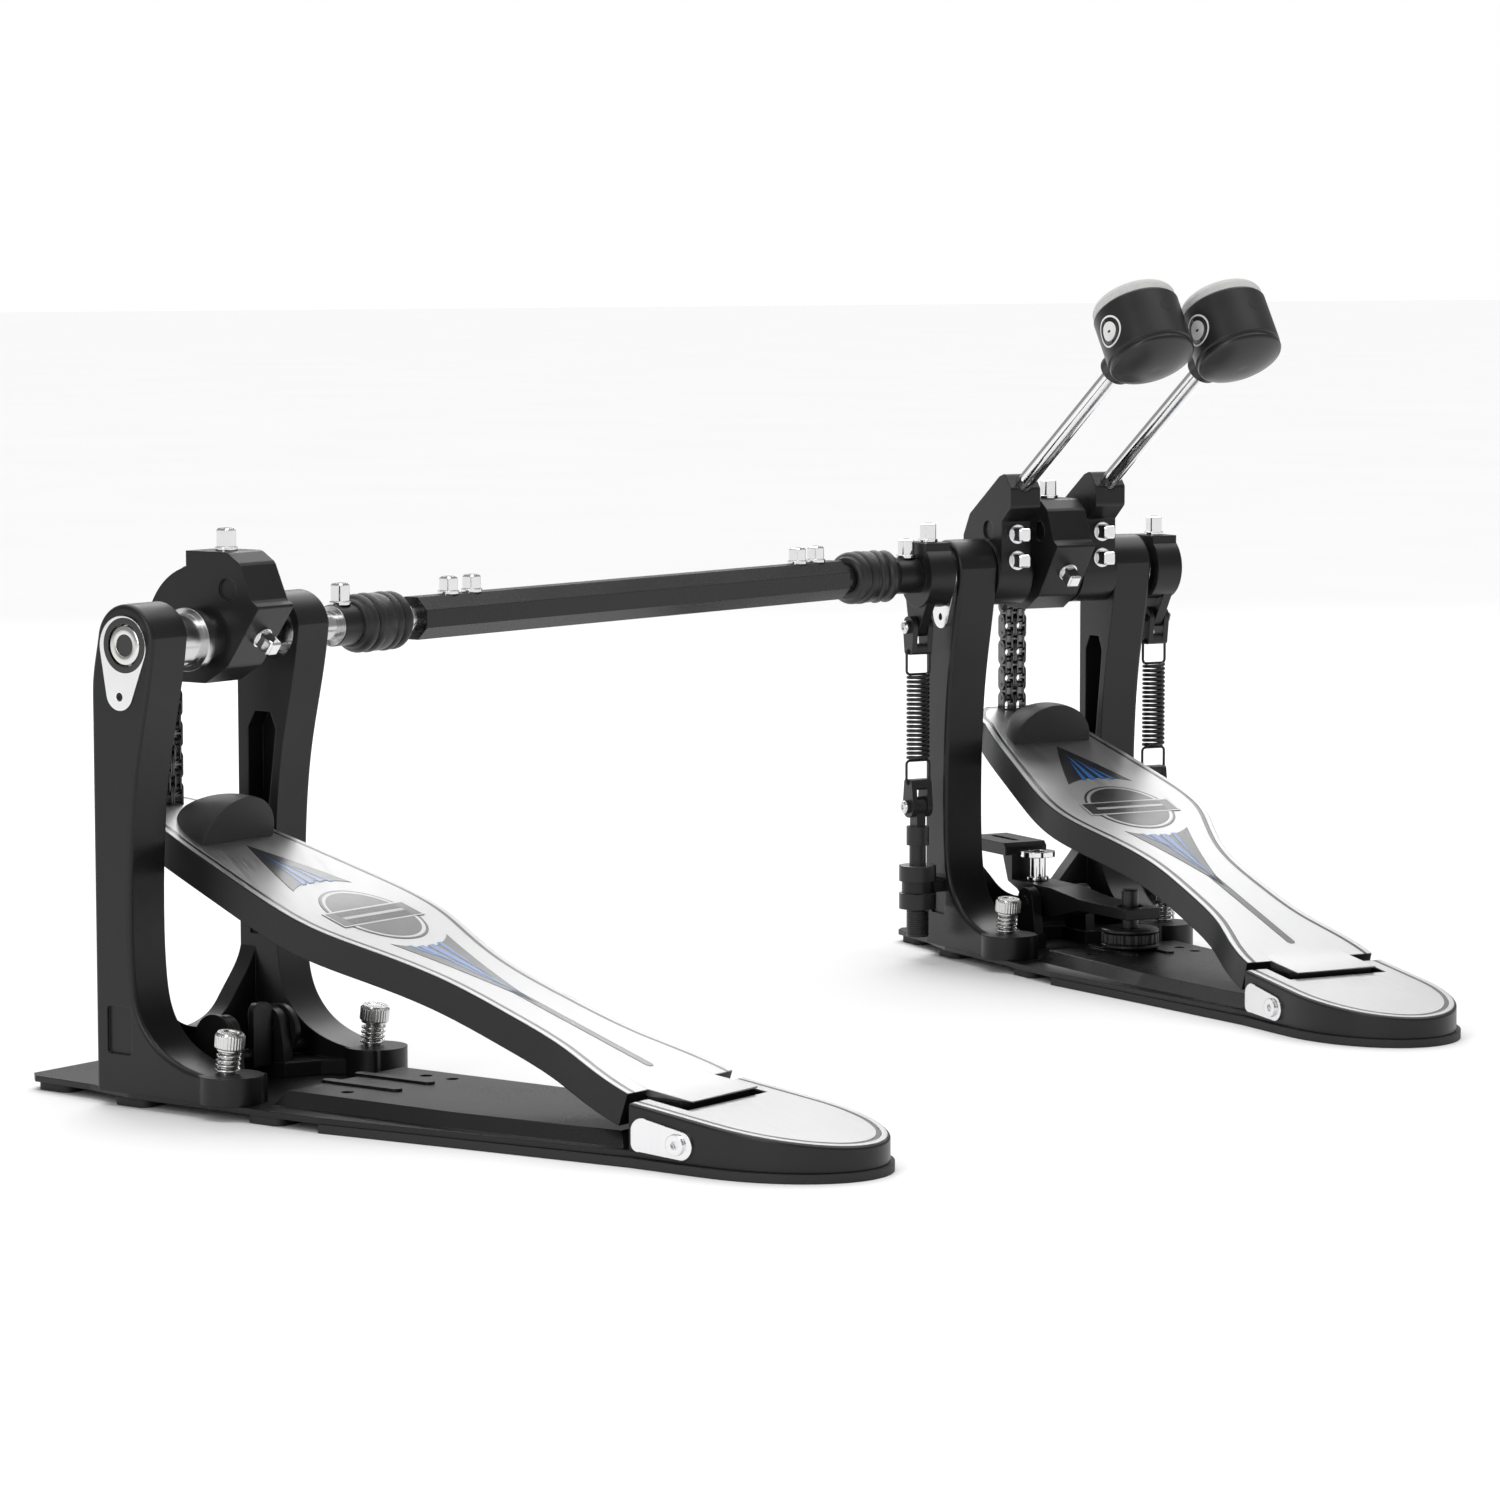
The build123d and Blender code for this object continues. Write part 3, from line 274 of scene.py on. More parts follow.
print("bright finishes ready")


# %% [markdown]
# ## Soft and moulded finishes
# Rubber is dark and rough with a slight bloom. Felt is pale and fuzzy: two sizes of noise for the
# matted fibres and a sheen for the nap. The inks of the inlays are thin satin lacquer.


# %% Rubber, felt, plastic and lacquer
def rubber(name, tint, rough, grain=0.00006):
    f = Finish(name)
    where = f.place()
    bloom = f.noise(where, 60, detail=5)
    skin = f.noise(where, 2200, detail=2)
    f.set(Base_Color=f.mix(bloom, [c * 0.7 for c in tint], [c * 1.6 for c in tint]),
          Roughness=rough + (bloom - 0.5) * 0.2,
          Normal=f.bump(skin, grain, round_edges=0.0006))
    return f.material


boot_rubber = rubber("boot_rubber", (0.012, 0.012, 0.012), 0.42)
stop_rubber = rubber("toe_stop_rubber", (0.016, 0.016, 0.016), 0.5)
sole_rubber = rubber("sole_rubber", (0.014, 0.014, 0.014), 0.62)


def felt():
    f = Finish("pressed_grey_felt")
    where = f.place()
    mat = f.noise(where, 420, detail=6, rough=0.7, lean=1.5)
    fibre = f.noise(f.place(scale=(1, 4, 1)), 2600, detail=4, rough=0.8)
    f.set(Base_Color=f.mix(mat * 0.6 + fibre * 0.4, (0.5, 0.5, 0.49), (0.86, 0.86, 0.85)),
          Roughness=0.92 + (fibre - 0.5) * 0.1,
          Sheen_Weight=0.4,
          Normal=f.bump(mat * 0.6 + fibre * 0.4, 0.0006))
    return f.material


def moulded(name, tint, rough, coat=0.0):
    f = Finish(name)
    where = f.place()
    wear = f.noise(where, 90, detail=5)
    skin = f.noise(where, 1300, detail=2)
    f.set(Base_Color=f.mix(wear, [c * 0.8 for c in tint], [c * 1.3 for c in tint]),
          Roughness=rough + (wear - 0.5) * 0.14, Coat_Weight=coat, Coat_Roughness=0.2,
          Normal=f.bump(skin, 0.00002, round_edges=0.0006))
    return f.material


grey_felt = felt()
head_black = moulded("moulded_black", (0.014, 0.014, 0.015), 0.34)
knob_black = moulded("ribbed_black_knob", (0.014, 0.014, 0.014), 0.38)
label_white = moulded("plain_white_label", (0.8, 0.8, 0.79), 0.4)
# a black for real lines and print, also used as painted shade in the bearing gaps, the slave axle's bore
# and the beater heads' holes
line_and_shade_black = moulded("black_line_and_painted_shade", (0.006, 0.006, 0.006), 0.3, coat=0.4)
inlay_dark = moulded("charcoal_inlay", (0.012, 0.013, 0.015), 0.3, coat=0.4)
inlay_blue = moulded("blue_streak", (0.02, 0.12, 0.36), 0.3, coat=0.4)
print("soft and moulded finishes ready")

# %% [markdown]
# ## Finishes for the castings that stay
# Most castings, plates and axles already have the right shape in the CAD model, so they stay and
# only change their finish. A CAD node's mesh is never touched: its material slot is enough.

# %% Dress the CAD nodes
CAD_FINISH = {
    "_post_frame": casting_black, "_heel_block": casting_black, "_cam": casting_black,
    "_base_plate": plate_black, "_footboard": casting_black, "_rubber_sole": sole_rubber,
    "_hinge_covers": polished, "_bearing_housings": polished, "_toe_stop": stop_rubber,
    "_hub": casting_black, "_lever": casting_black, "_axle": turned_steel, "_beater_rod": chrome,
    "_beater_head": head_black, "_beater_felt": grey_felt, "_clevis": steel_black,
    "_rocker": casting_black, "_thumb_bolt": chrome, "_key_bolts": chrome, "_tube": tube_black,
    "_stem": turned_steel, "_tensioners": steel_black, "_knob": knob_black}
for name, node in nodes.items():
    for ending, finish in CAD_FINISH.items():
        if name.endswith(ending):
            node.data.materials.clear()
            node.data.materials.append(finish)
print("dressed", sum(1 for name in nodes if name.endswith(tuple(CAD_FINISH))), "CAD nodes")

# %% [markdown]
# ## A small bench of bmesh tools
# Every new piece starts as a bmesh in pedal millimetres, from a circle, a cube or a short outline,
# and is lathed, extruded or bevelled from there. `keep` moves it into the frame, turns its faces
# outwards and lets it ride on a body.


# %% Lathe, plate, soften and keep
def corners_of(bm, points):
    return [bm.verts.new(point) for point in points]


def lathe(bm, profile, steps=48):
    """Spin a line of (radius, height) points about Z."""
    line = corners_of(bm, [(r, 0, z) for r, z in profile])
    edges = [bm.edges.new(pair) for pair in zip(line, line[1:])]
    bmesh.ops.spin(bm, geom=line + edges, cent=(0, 0, 0), axis=(0, 0, 1), angle=math.tau,
                   steps=steps,
                   use_merge=True)
    bmesh.ops.remove_doubles(bm, verts=bm.verts, dist=0.0005)
    return bm


def slab(bm, outline, low, high):
    """A flat plate with the outline given as (x, y) points, between two heights."""
    face = bm.faces.new(corners_of(bm, [(x, y, low) for x, y in outline]))
    grown = bmesh.ops.extrude_face_region(bm, geom=[face])
    up = [v for v in grown["geom"] if isinstance(v, bmesh.types.BMVert)]
    bmesh.ops.translate(bm, verts=up, vec=(0, 0, high - low))
    return bm


def soften(bm, width, segments=2, angle=30):
    """Bevel the edges that turn by more than an angle."""
    bmesh.ops.recalc_face_normals(bm, faces=bm.faces)
    sharp = [e for e in bm.edges if len(e.link_faces) == 2 and e.calc_face_angle() > math.radians(angle)]
    bmesh.ops.bevel(bm, geom=sharp, offset=width, affect="EDGES", segments=segments, profile=0.5,
                    material=-1,
                    clamp_overlap=True)
    return bm


def moved(bm, place):
    bmesh.ops.transform(bm, matrix=place, verts=bm.verts)
    return bm


def joined(parts):
    """One bmesh from several, through a scratch mesh each."""
    whole = bmesh.new()
    for part in parts:
        scratch = bpy.data.meshes.new("scratch")
        part.to_mesh(scratch)
        part.free()
        whole.from_mesh(scratch)
        bpy.data.meshes.remove(scratch)
    return whole


def keep(name, bm, place, finish, body=None, replaces=(), smooth=35):
    """Turn a bmesh in pedal millimetres into a finished piece in the frame."""
    bmesh.ops.recalc_face_normals(bm, faces=bm.faces)
    bmesh.ops.transform(bm, matrix=place, verts=bm.verts)
    mesh = bpy.data.meshes.new(name)
    bm.to_mesh(mesh)
    bm.free()
    mesh.materials.append(finish)
    mesh.shade_smooth()
    mesh.set_sharp_from_angle(angle=math.radians(smooth))
    piece = bpy.data.objects.new(name, mesh)
    bpy.context.scene.collection.objects.link(piece)
    if body:
        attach(piece, body)
    if replaces:
        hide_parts(*replaces)
    return piece


def circle_points(radius, count, start=0.0, sweep=360.0, centre=(0, 0)):
    return [(centre[0] + radius * math.cos(math.radians(start + sweep * k / count)),
             centre[1] + radius * math.sin(math.radians(start + sweep * k / count)))
            for k in range(count + (sweep < 360))]


# %% [markdown]
# ## The silver tops
# The footboard's face is silver with a thin black line just inside its edge. Its outline is
# already in the CAD casting, so it is read from there as one loop of points. Rim and line are
# ribbons a set distance inside that loop, and the field fills the rest, so the line is crisp.


# %% Outlines, offsets and ribbons
def outline_of(node, place):
    """The longest loop round a casting's flat face at the place's own XY plane."""
    bm = bmesh.new()
    bm.from_mesh(nodes[node].data)
    bmesh.ops.transform(bm, matrix=place.inverted(), verts=bm.verts)
    bmesh.ops.remove_doubles(bm, verts=bm.verts, dist=0.005)
    away = [f for f in bm.faces if any(abs(v.co.z) > 0.02 for v in f.verts)]
    bmesh.ops.delete(bm, geom=away, context="FACES")
    edges = {e for e in bm.edges if len(e.link_faces) == 1}
    loops = []
    while edges:
        edge = edges.pop()
        chain = [edge.verts[0], edge.verts[1]]
        while True:
            onward = next((e for e in chain[-1].link_edges if e in edges), None)
            if onward is None:
                break
            edges.discard(onward)
            chain.append(onward.other_vert(chain[-1]))
        loops.append([v.co.to_2d() for v in chain])
    bm.free()
    longest = max(loops, key=lambda loop: sum((b - a).length for a, b in zip(loop, loop[1:])))
    turning = sum(a.x * b.y - b.x * a.y for a, b in zip(longest, longest[1:]))
    return longest if turning > 0 else longest[::-1]


def resampled(points, step):
    """The same open line with even spacing."""
    points = [Vector(p) for p in points]
    reach = [0.0]
    for a, b in zip(points, points[1:]):
        reach.append(reach[-1] + (b - a).length)
    count = max(2, round(reach[-1] / step))
    even, k = [], 0
    for n in range(count + 1):
        goal = reach[-1] * n / count
        while k < len(points) - 2 and reach[k + 1] < goal:
            k += 1
        share = (goal - reach[k]) / max(reach[k + 1] - reach[k], 1e-9)
        even.append(points[k].lerp(points[k + 1], min(share, 1)))
    return even


def inward(path, distance):
    """An open path that runs anticlockwise, moved to its left."""
    shifted = []
    for k, point in enumerate(path):
        tangent = (path[min(k + 1, len(path) - 1)] - path[max(k - 1, 0)]).normalized()
        shifted.append(point + Vector((-tangent.y, tangent.x)) * distance)
    return shifted


def raised(bm, height):
    """Pull every face of a flat bmesh up into a plate."""
    grown = bmesh.ops.extrude_face_region(bm, geom=list(bm.faces))
    up = [v for v in grown["geom"] if isinstance(v, bmesh.types.BMVert)]
    bmesh.ops.translate(bm, verts=up, vec=(0, 0, height))
    return bm


def ribbon(path, near, far, low, high):
    """A thin strip between two distances inside a path."""
    bm = bmesh.new()
    outer = corners_of(bm, [(p.x, p.y, low) for p in inward(path, near)])
    inner = corners_of(bm, [(p.x, p.y, low) for p in inward(path, far)])
    for k in range(len(path) - 1):
        bm.faces.new((outer[k], outer[k + 1], inner[k + 1], inner[k]))
    return raised(bm, high - low)


TOP_THICKNESS = 0.35
RIM, LINE = 2.6, 1.9


def banded_top(name, path, closing, place, body, metal):
    """Silver rim, black line and silver field along an open path, closed by further points."""
    rim = ribbon(path, 0.3, RIM, 0, TOP_THICKNESS)
    field = slab(bmesh.new(), [tuple(p) for p in inward(path, RIM + LINE)] + closing, 0,
                 TOP_THICKNESS)
    keep(f"{name}_silver", joined([rim, field]), place, metal, body, smooth=30)
    line = ribbon(path, RIM - 0.05, RIM + LINE + 0.05, 0, TOP_THICKNESS - 0.1)
    keep(f"{name}_line", line, place, line_and_shade_black, body, smooth=30)


# %% Rim, line and field of each footboard and heel
HEEL_SLOPE = math.degrees(math.atan2(13, 100))
HEEL = turned("X", HEEL_SLOPE, (0, -230, 24.6))
HEEL_HALF, HEEL_FRONT, HEEL_BEND, HEEL_TIP = 35.2, -236.8, -272.0, -323.2


def up_heel(y):
    return (y + 230) / math.cos(math.radians(HEEL_SLOPE))


heel_path = [(-HEEL_HALF, up_heel(HEEL_FRONT)), (-HEEL_HALF, up_heel(HEEL_BEND))]
heel_path += [(HEEL_HALF * x, up_heel(HEEL_BEND) + (up_heel(HEEL_TIP) - up_heel(HEEL_BEND)) * -y)
              for x, y in circle_points(1, 44, 180, 180)[1:]]
heel_path += [(HEEL_HALF, up_heel(HEEL_FRONT))]
heel_path = resampled(heel_path, 2.0)
heel_notch = [(25.3, up_heel(HEEL_FRONT)), (25.3, up_heel(-255.4)), (-25.3, up_heel(-255.4)),
              (-25.3, up_heel(HEEL_FRONT))]
for pedal, place in PEDALS.items():
    loop = outline_of(f"{pedal}_footboard", place @ BOARD)
    start = max(range(len(loop)), key=lambda k: loop[k].x - 3 * abs(loop[k].y))
    loop = loop[start:] + loop[1:start + 1] if loop[0] == loop[-1] else loop[start:] + loop[:start]
    end = max(range(len(loop)), key=lambda k: -loop[k].x - 3 * abs(loop[k].y))
    path = resampled(loop[:end + 1], 2.0)
    print(pedal, "board edge from", tuple(path[0]), "to", tuple(path[-1]))
    banded_top(f"{pedal}_footboard_top", path, [], place @ BOARD, f"{pedal}_footboard",
               brushed_top[pedal])
    banded_top(f"{pedal}_heel_top", heel_path, heel_notch, place @ HEEL, f"{pedal}_frame",
               brushed_top[pedal])

# %% [markdown]
# ## The tongue over the hinge
# Between the two black knuckles the silver face runs on over the hinge as a tongue that bends
# down to the heel, and a pair of small black bosses stands on both sides of it.

# %% Tongues
TONGUE_HALF = 20.6


def across(points, low, high):
    """A solid across the pedal from its side view, given as (y, z) points."""
    return moved(slab(bmesh.new(), points, low, high), turned("Z", 90) @ turned("X", 90))


for pedal, place in PEDALS.items():
    tongue = across([(-224, 30.0), (-233, 26.95), (-254.3, 24.35), (-254.3, 23.72),
                     (-233.4, 23.72), (-224, 28.0)],
                    -TONGUE_HALF, TONGUE_HALF)
    keep(f"{pedal}_tongue_top", soften(tongue, 0.2, 1), place, brushed_top[pedal],
         f"{pedal}_footboard")
print("tongues laid")

# %% [markdown]
# ## Inlays, streaks and a plain badge
# Two dark tapered inlays run along the middle of the board, with blue streaks that fan out, and
# between them sits a badge. The badge here is a plain design of its own: an oval with a bar. All
# are thin lacquered plates that lie one just above the other.

# %% Inlay outlines on the board's face
INLAY_LIFT = 0.12


def arc_between(a, b, bulge, count=10):
    """Points from a to b along a parabola that bulges by a given height at its middle."""
    points = []
    for k in range(count + 1):
        t = k / count
        points.append((a[0] + (b[0] - a[0]) * t,
                       a[1] + (b[1] - a[1]) * t + 4 * bulge * t * (1 - t)))
    return points


UPPER_TIP, UPPER_BASE, UPPER_HALF = 231.0, 188.5, 17.5
LOWER_TIP, LOWER_BASE, LOWER_HALF = 74.0, 136.0, 17.0
GROOVE_END = 14.0


def curved_side(tip, base, half, hollow, side, count=8):
    """One side of a tapered inlay from its tip to its base corner, hollow or full."""
    return [(side * half * (t - hollow * t * (1 - t)), tip + (base - tip) * t)
            for t in (k / count for k in range(1, count + 1))]


def tapered_inlay(tip, base, half, hollow, base_bulge):
    right = curved_side(tip, base, half, hollow, 1)
    left = curved_side(tip, base, half, hollow, -1)
    return [(0, tip), *right, *arc_between(right[-1], left[-1], base_bulge)[1:-1], *reversed(left)]


# each streak: its place across the base, its width there and how far it reaches to the tip
UPPER_STREAKS = ((-6.5, 2.4, 0.55), (-1.5, 3.4, 0.75), (4.0, 2.6, 0.62), (9.0, 2.2, 0.42))
LOWER_STREAKS = ((-10.0, 2.2, 0.35), (-5.0, 3.4, 0.7), (0.5, 3.8, 0.95), (6.5, 2.4, 0.6))


def add_inlays(pedal, place, body):
    low = TOP_THICKNESS
    dark = [slab(bmesh.new(), outline, low, low + INLAY_LIFT) for outline in (
        tapered_inlay(UPPER_TIP, UPPER_BASE, UPPER_HALF, -0.15, 5.5),
        tapered_inlay(LOWER_TIP, LOWER_BASE, LOWER_HALF, 0.35, -7.0),
        [(-2.0, LOWER_TIP + 12), (-1.9, GROOVE_END + 2), (-1, GROOVE_END + 0.4),
         (1, GROOVE_END + 0.4),
         (1.9, GROOVE_END + 2), (2.0, LOWER_TIP + 12)])]
    keep(f"{pedal}_inlays", joined(dark), place, inlay_dark, body)
    blue = []
    for across_base, width, reach in UPPER_STREAKS:
        base = UPPER_BASE + 4.2 - 0.012 * across_base ** 2
        blue.append([(across_base * 0.4, base + (UPPER_TIP - base) * reach),
                     (across_base - width / 2, base),
                     (across_base + width / 2, base)])
    for across_base, width, reach in LOWER_STREAKS:
        base = LOWER_BASE - 5.8 + 0.02 * across_base ** 2
        blue.append([(across_base * 0.15, base + (LOWER_TIP - base) * reach),
                     (across_base + width / 2, base),
                     (across_base - width / 2, base)])
    plates = [slab(bmesh.new(), outline, low + INLAY_LIFT,
                   low + INLAY_LIFT + 0.06) for outline in blue]
    keep(f"{pedal}_blue_streaks", joined(plates), place, inlay_blue, body)


BADGE_MIDDLE = 160.5
BADGE_WIDE, BADGE_TALL = 21.0, 23.5


def oval(inset):
    return [(x * (BADGE_WIDE - inset), BADGE_MIDDLE + y * (BADGE_TALL - inset)) for x,
            y in circle_points(1, 56)]


def bar(half, tall):
    return [(-half, BADGE_MIDDLE - tall), (half, BADGE_MIDDLE - tall), (half, BADGE_MIDDLE + tall),
            (-half, BADGE_MIDDLE + tall)]


def add_badge(pedal, place, body, metal):
    low = TOP_THICKNESS
    dark = [slab(bmesh.new(), oval(0), low, low + 0.12),
            slab(bmesh.new(), oval(2.8), low + 0.18, low + 0.24),
            slab(bmesh.new(), bar(BADGE_WIDE + 2.2, 5.6), low + 0.3, low + 0.34)]
    silver = [slab(bmesh.new(), oval(1.2), low + 0.12, low + 0.18),
              slab(bmesh.new(), bar(BADGE_WIDE + 3.2, 6.6), low + 0.18, low + 0.3),
              slab(bmesh.new(), bar(BADGE_WIDE - 3.0, 1.0), low + 0.34, low + 0.4)]
    keep(f"{pedal}_badge_dark", joined(dark), place, line_and_shade_black, body)
    keep(f"{pedal}_badge_silver", joined(silver), place, metal, body)


for pedal, place in PEDALS.items():
    add_inlays(pedal, place @ BOARD, f"{pedal}_footboard")
    add_badge(pedal, place @ BOARD, f"{pedal}_footboard", brushed_top[pedal])
print("inlays and badges laid")

# %% [markdown]
# ## Double-row roller chain
# Each link is two rollers and the plates that join them. A link is made once at the origin, as
# stadium-shaped plates and short rollers, and copied along the chain's path: straight up from the
# toe, then round the cam. The straight run is fixed in place between the toe and the cam, and only the
# wrap rides on the axle.

# %% Chain link
PITCH = 6.35
CHAIN_Y = 28.0
PLATE_HEIGHT = 5.6


def stadium(length, height, x, thickness):
    """A side plate across X, its length along Z."""
    bm = bmesh.new()
    bmesh.ops.create_circle(bm, cap_ends=True, radius=height / 2, segments=14)
    for v in bm.verts:
        v.co.y += math.copysign((length - height) / 2, v.co.y)
    bmesh.ops.translate(bm, verts=bm.verts, vec=(0, 0, -thickness / 2))
    raised(bm, thickness)
    return moved(bm, Matrix.Translation((x, 0, 0)) @ turned("Z", 90) @ turned("X", 90))


def roller(x, length, radius, z):
    bm = bmesh.new()
    bmesh.ops.create_cone(bm, cap_ends=True, segments=14, radius1=radius, radius2=radius,
                          depth=length)
    return moved(bm, Matrix.Translation((x, 0, z)) @ turned("Y", 90))


def chain_link(outer):
    reach, step = (5.9, 5.3) if outer else (4.9, 3.3)
    parts = [stadium(PITCH + PLATE_HEIGHT, PLATE_HEIGHT, x, 0.8) for x in (-reach, step - reach,
            reach - step, reach)]
    for z in (-PITCH / 2, PITCH / 2):
        if outer:
            parts.append(roller(0, 13.2, 1.1, z))
        else:
            parts.extend(roller(x, 3.2, 1.7, z) for x in (-3.2, 3.2))
    return parts


# %% The straight run and the wrap round the cam
CAM_RADIUS = 28.0
CHAIN_LOW = 116.4
WRAP_ANGLE = 74.0
straight_links = int((AXLE - CHAIN_LOW) / PITCH) + 1
chain_rest = AXLE - straight_links * PITCH
wrap_links = int(CAM_RADIUS * math.radians(WRAP_ANGLE) / PITCH)


def chain_piece(pedal, place):
    straight, wrapped = [], []
    for k in range(straight_links):
        middle = Matrix.Translation((0, CHAIN_Y, chain_rest + (k + 0.5) * PITCH))
        straight += [moved(part, middle) for part in chain_link(k % 2 == 0)]
    for k in range(wrap_links):
        turn = math.degrees((k + 0.5) * PITCH / CAM_RADIUS)
        on_cam = Matrix.Translation((0, 0, AXLE)) @ turned("X",
                turn) @ Matrix.Translation((0, CAM_RADIUS, 0))
        wrapped += [moved(part, on_cam) for part in chain_link((k + straight_links) % 2 == 0)]
    run = keep(f"{pedal}_chain_run", joined(straight), place, chain_steel,
               replaces=(f"{pedal}_chain", f"{pedal}_chain_top_link"))
    ends = [place @ Vector((0, CHAIN_Y, z)) for z in (chain_rest + PITCH, AXLE - PITCH / 2)]
    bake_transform(run)
    keep(f"{pedal}_chain_on_cam", joined(wrapped), place, chain_steel,
         f"{pedal}_axle")


for pedal, place in PEDALS.items():
    chain_piece(pedal, place)
print("chains:", straight_links, "straight links and", wrap_links, "on the cam")

# %% [markdown]
# ## Wires and extension springs
# A wire is a small ring carried along a line of points. A spring's line is a helix. Its hooks are
# rectangular loops whose far side passes through the bridge of a clevis.


# %% Wire along a line
def wire_along(points, radius, closed=False, sides=8):
    """A round wire through points, square to its own direction everywhere."""
    bm = bmesh.new()
    count = len(points)
    side = None
    rings = []
    for k, point in enumerate(points):
        before = points[k - 1] if closed or k > 0 else point
        after = points[(k + 1) % count] if closed or k < count - 1 else point
        tangent = (after - before).normalized()
        if side is None:
            side = tangent.orthogonal().normalized()
        side = (side - tangent * side.dot(tangent)).normalized()
        other = tangent.cross(side)
        rings.append([bm.verts.new(point + side * radius * x + other * radius * y) for x,
                      y in circle_points(1, sides)])
    pairs = list(zip(rings, rings[1:])) + ([(rings[-1], rings[0])] if closed else [])
    for low, high in pairs:
        for k in range(sides):
            bm.faces.new((low[k], low[(k + 1) % sides], high[(k + 1) % sides], high[k]))
    if not closed:
        bm.faces.new(rings[0][::-1])
        bm.faces.new(rings[-1])
    return bm


def helix(radius, low, high, turns, centre=(0, 0), per_turn=20):
    steps = int(turns * per_turn)
    return [Vector((centre[0] + radius * math.cos(math.tau * k / per_turn),
                    centre[1] + radius * math.sin(math.tau * k / per_turn),
                    low + (high - low) * k / steps)) for k in range(steps + 1)]


def loop_in_xz(x, y, low, high, half, corner=1.8):
    """A rounded rectangular loop that faces Y."""
    points = []
    for sx, sz, start in ((1, 1, 0), (-1, 1, 90), (-1, -1, 180), (1, -1, 270)):
        middle = (sx * (half - corner), (high if sz > 0 else low) - sz * corner)
        points += [Vector((x + a, y, b)) for a, b in circle_points(corner, 5, start, 90, middle)]
    return points


# %% Coils between the clevises
SPRING_X, SPRING_Y = 66.0, 4.0
COIL_LOW, COIL_HIGH = 96.5, 137.0
HOOK_LOW, HOOK_HIGH = 84.6, 149.4
for side, x in (("left", -SPRING_X), ("right", SPRING_X)):
    parts = [wire_along(helix(4.85, COIL_LOW, COIL_HIGH, 19, (x, SPRING_Y)), 0.84),
             wire_along(loop_in_xz(x, SPRING_Y, COIL_HIGH + 0.4, HOOK_HIGH, 6.2), 0.65,
                        closed=True),
             wire_along(loop_in_xz(x, SPRING_Y, HOOK_LOW, COIL_LOW - 0.4, 6.2), 0.65, closed=True)]
    spring = keep(f"{side}_coil_spring", joined(parts), PRIMARY, steel_black,
                  replaces=(f"{side}_spring",), smooth=60)
    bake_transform(spring)
print("two extension springs wound")

# %% [markdown]
# ## Bellows boots
# Each rubber boot covers a universal joint. A bellows is a body of revolution, so each half can
# turn about its own axis and still meet the other. The halves are lathed from a wavy profile,
# and a round middle fold hides the bend between them.

# %% Boot halves on both sides of each joint
BOOT_HALF, BOOT_START = 15.0, 3.4
CREST, VALLEY = 12.6, 10.4
FOLD = 5.4
stem_turn, tube_turn = joints["drive_stem_turn"], joints["drive_tube_turn"]
along_shaft = -Vector(stem_turn["axis"])


def boot_profile(neck):
    """Folds as a rounded wave, from near the joint's middle out to the neck."""
    points = [(9.7, BOOT_START)]
    for k in range(29):
        z = BOOT_START + (13.4 - BOOT_START) * k / 28
        wave = abs(math.cos(math.pi * z / FOLD)) ** 0.6
        points.append((VALLEY + (CREST - VALLEY) * wave - 0.04 * (z - BOOT_START), z))
    return points + [(10.0, 14.2), (9.5, BOOT_HALF), (neck, BOOT_HALF), (neck, BOOT_HALF - 1.5)]


def pointing(at, direction):
    """A place in the frame whose Z runs along a direction, in millimetres."""
    turn = Vector((0, 0, 1)).rotation_difference(Vector(direction)).to_matrix().to_4x4()
    return Matrix.Translation(at) @ turn @ Matrix.Scale(MM, 4)


BOOTS = {
    "stem_boot": (stem_turn["pos_m"], along_shaft, "drive_stem", 7.0),
    "tube_boot": (tube_turn["pos_m"], -along_shaft, "drive_tube", 7.0),
    "slave_boot": (stem_turn["pos_m"], Vector(joints["slave_axle_turn"]["axis"]), "slave_axle",
                   8.4),
    "left_axle_boot": (tube_turn["pos_m"], -Vector(joints["left_axle_turn"]["axis"]), "left_axle",
                       8.4)}
for name, (at, out, body, neck) in BOOTS.items():
    keep(f"{name}_folds", lathe(bmesh.new(), boot_profile(neck), 56), pointing(at, out),
         boot_rubber,
         body, replaces=(name,), smooth=60)
for name, at, body in (("slave_side", stem_turn["pos_m"], "drive_stem"),
                       ("primary_side", tube_turn["pos_m"], "drive_tube")):
    ball = bmesh.new()
    bmesh.ops.create_uvsphere(ball, u_segments=48, v_segments=32, radius=12.2)
    keep(f"{name}_middle_fold", ball, pointing(at, along_shaft), boot_rubber, body,
         smooth=60)
print("four boot halves and two middle folds")

# %% [markdown]
# ## Black sleeves, a steel end ring and painted shade in the hollows
# The forks of the axles wear black sleeves next to their boots. Round every axle end a flat black ring
# on the silver plate is painted shade for the recessed gap there, and the slave's outer end shows a
# steel ring round a flat black disc, painted shade for the hollow of its bore.

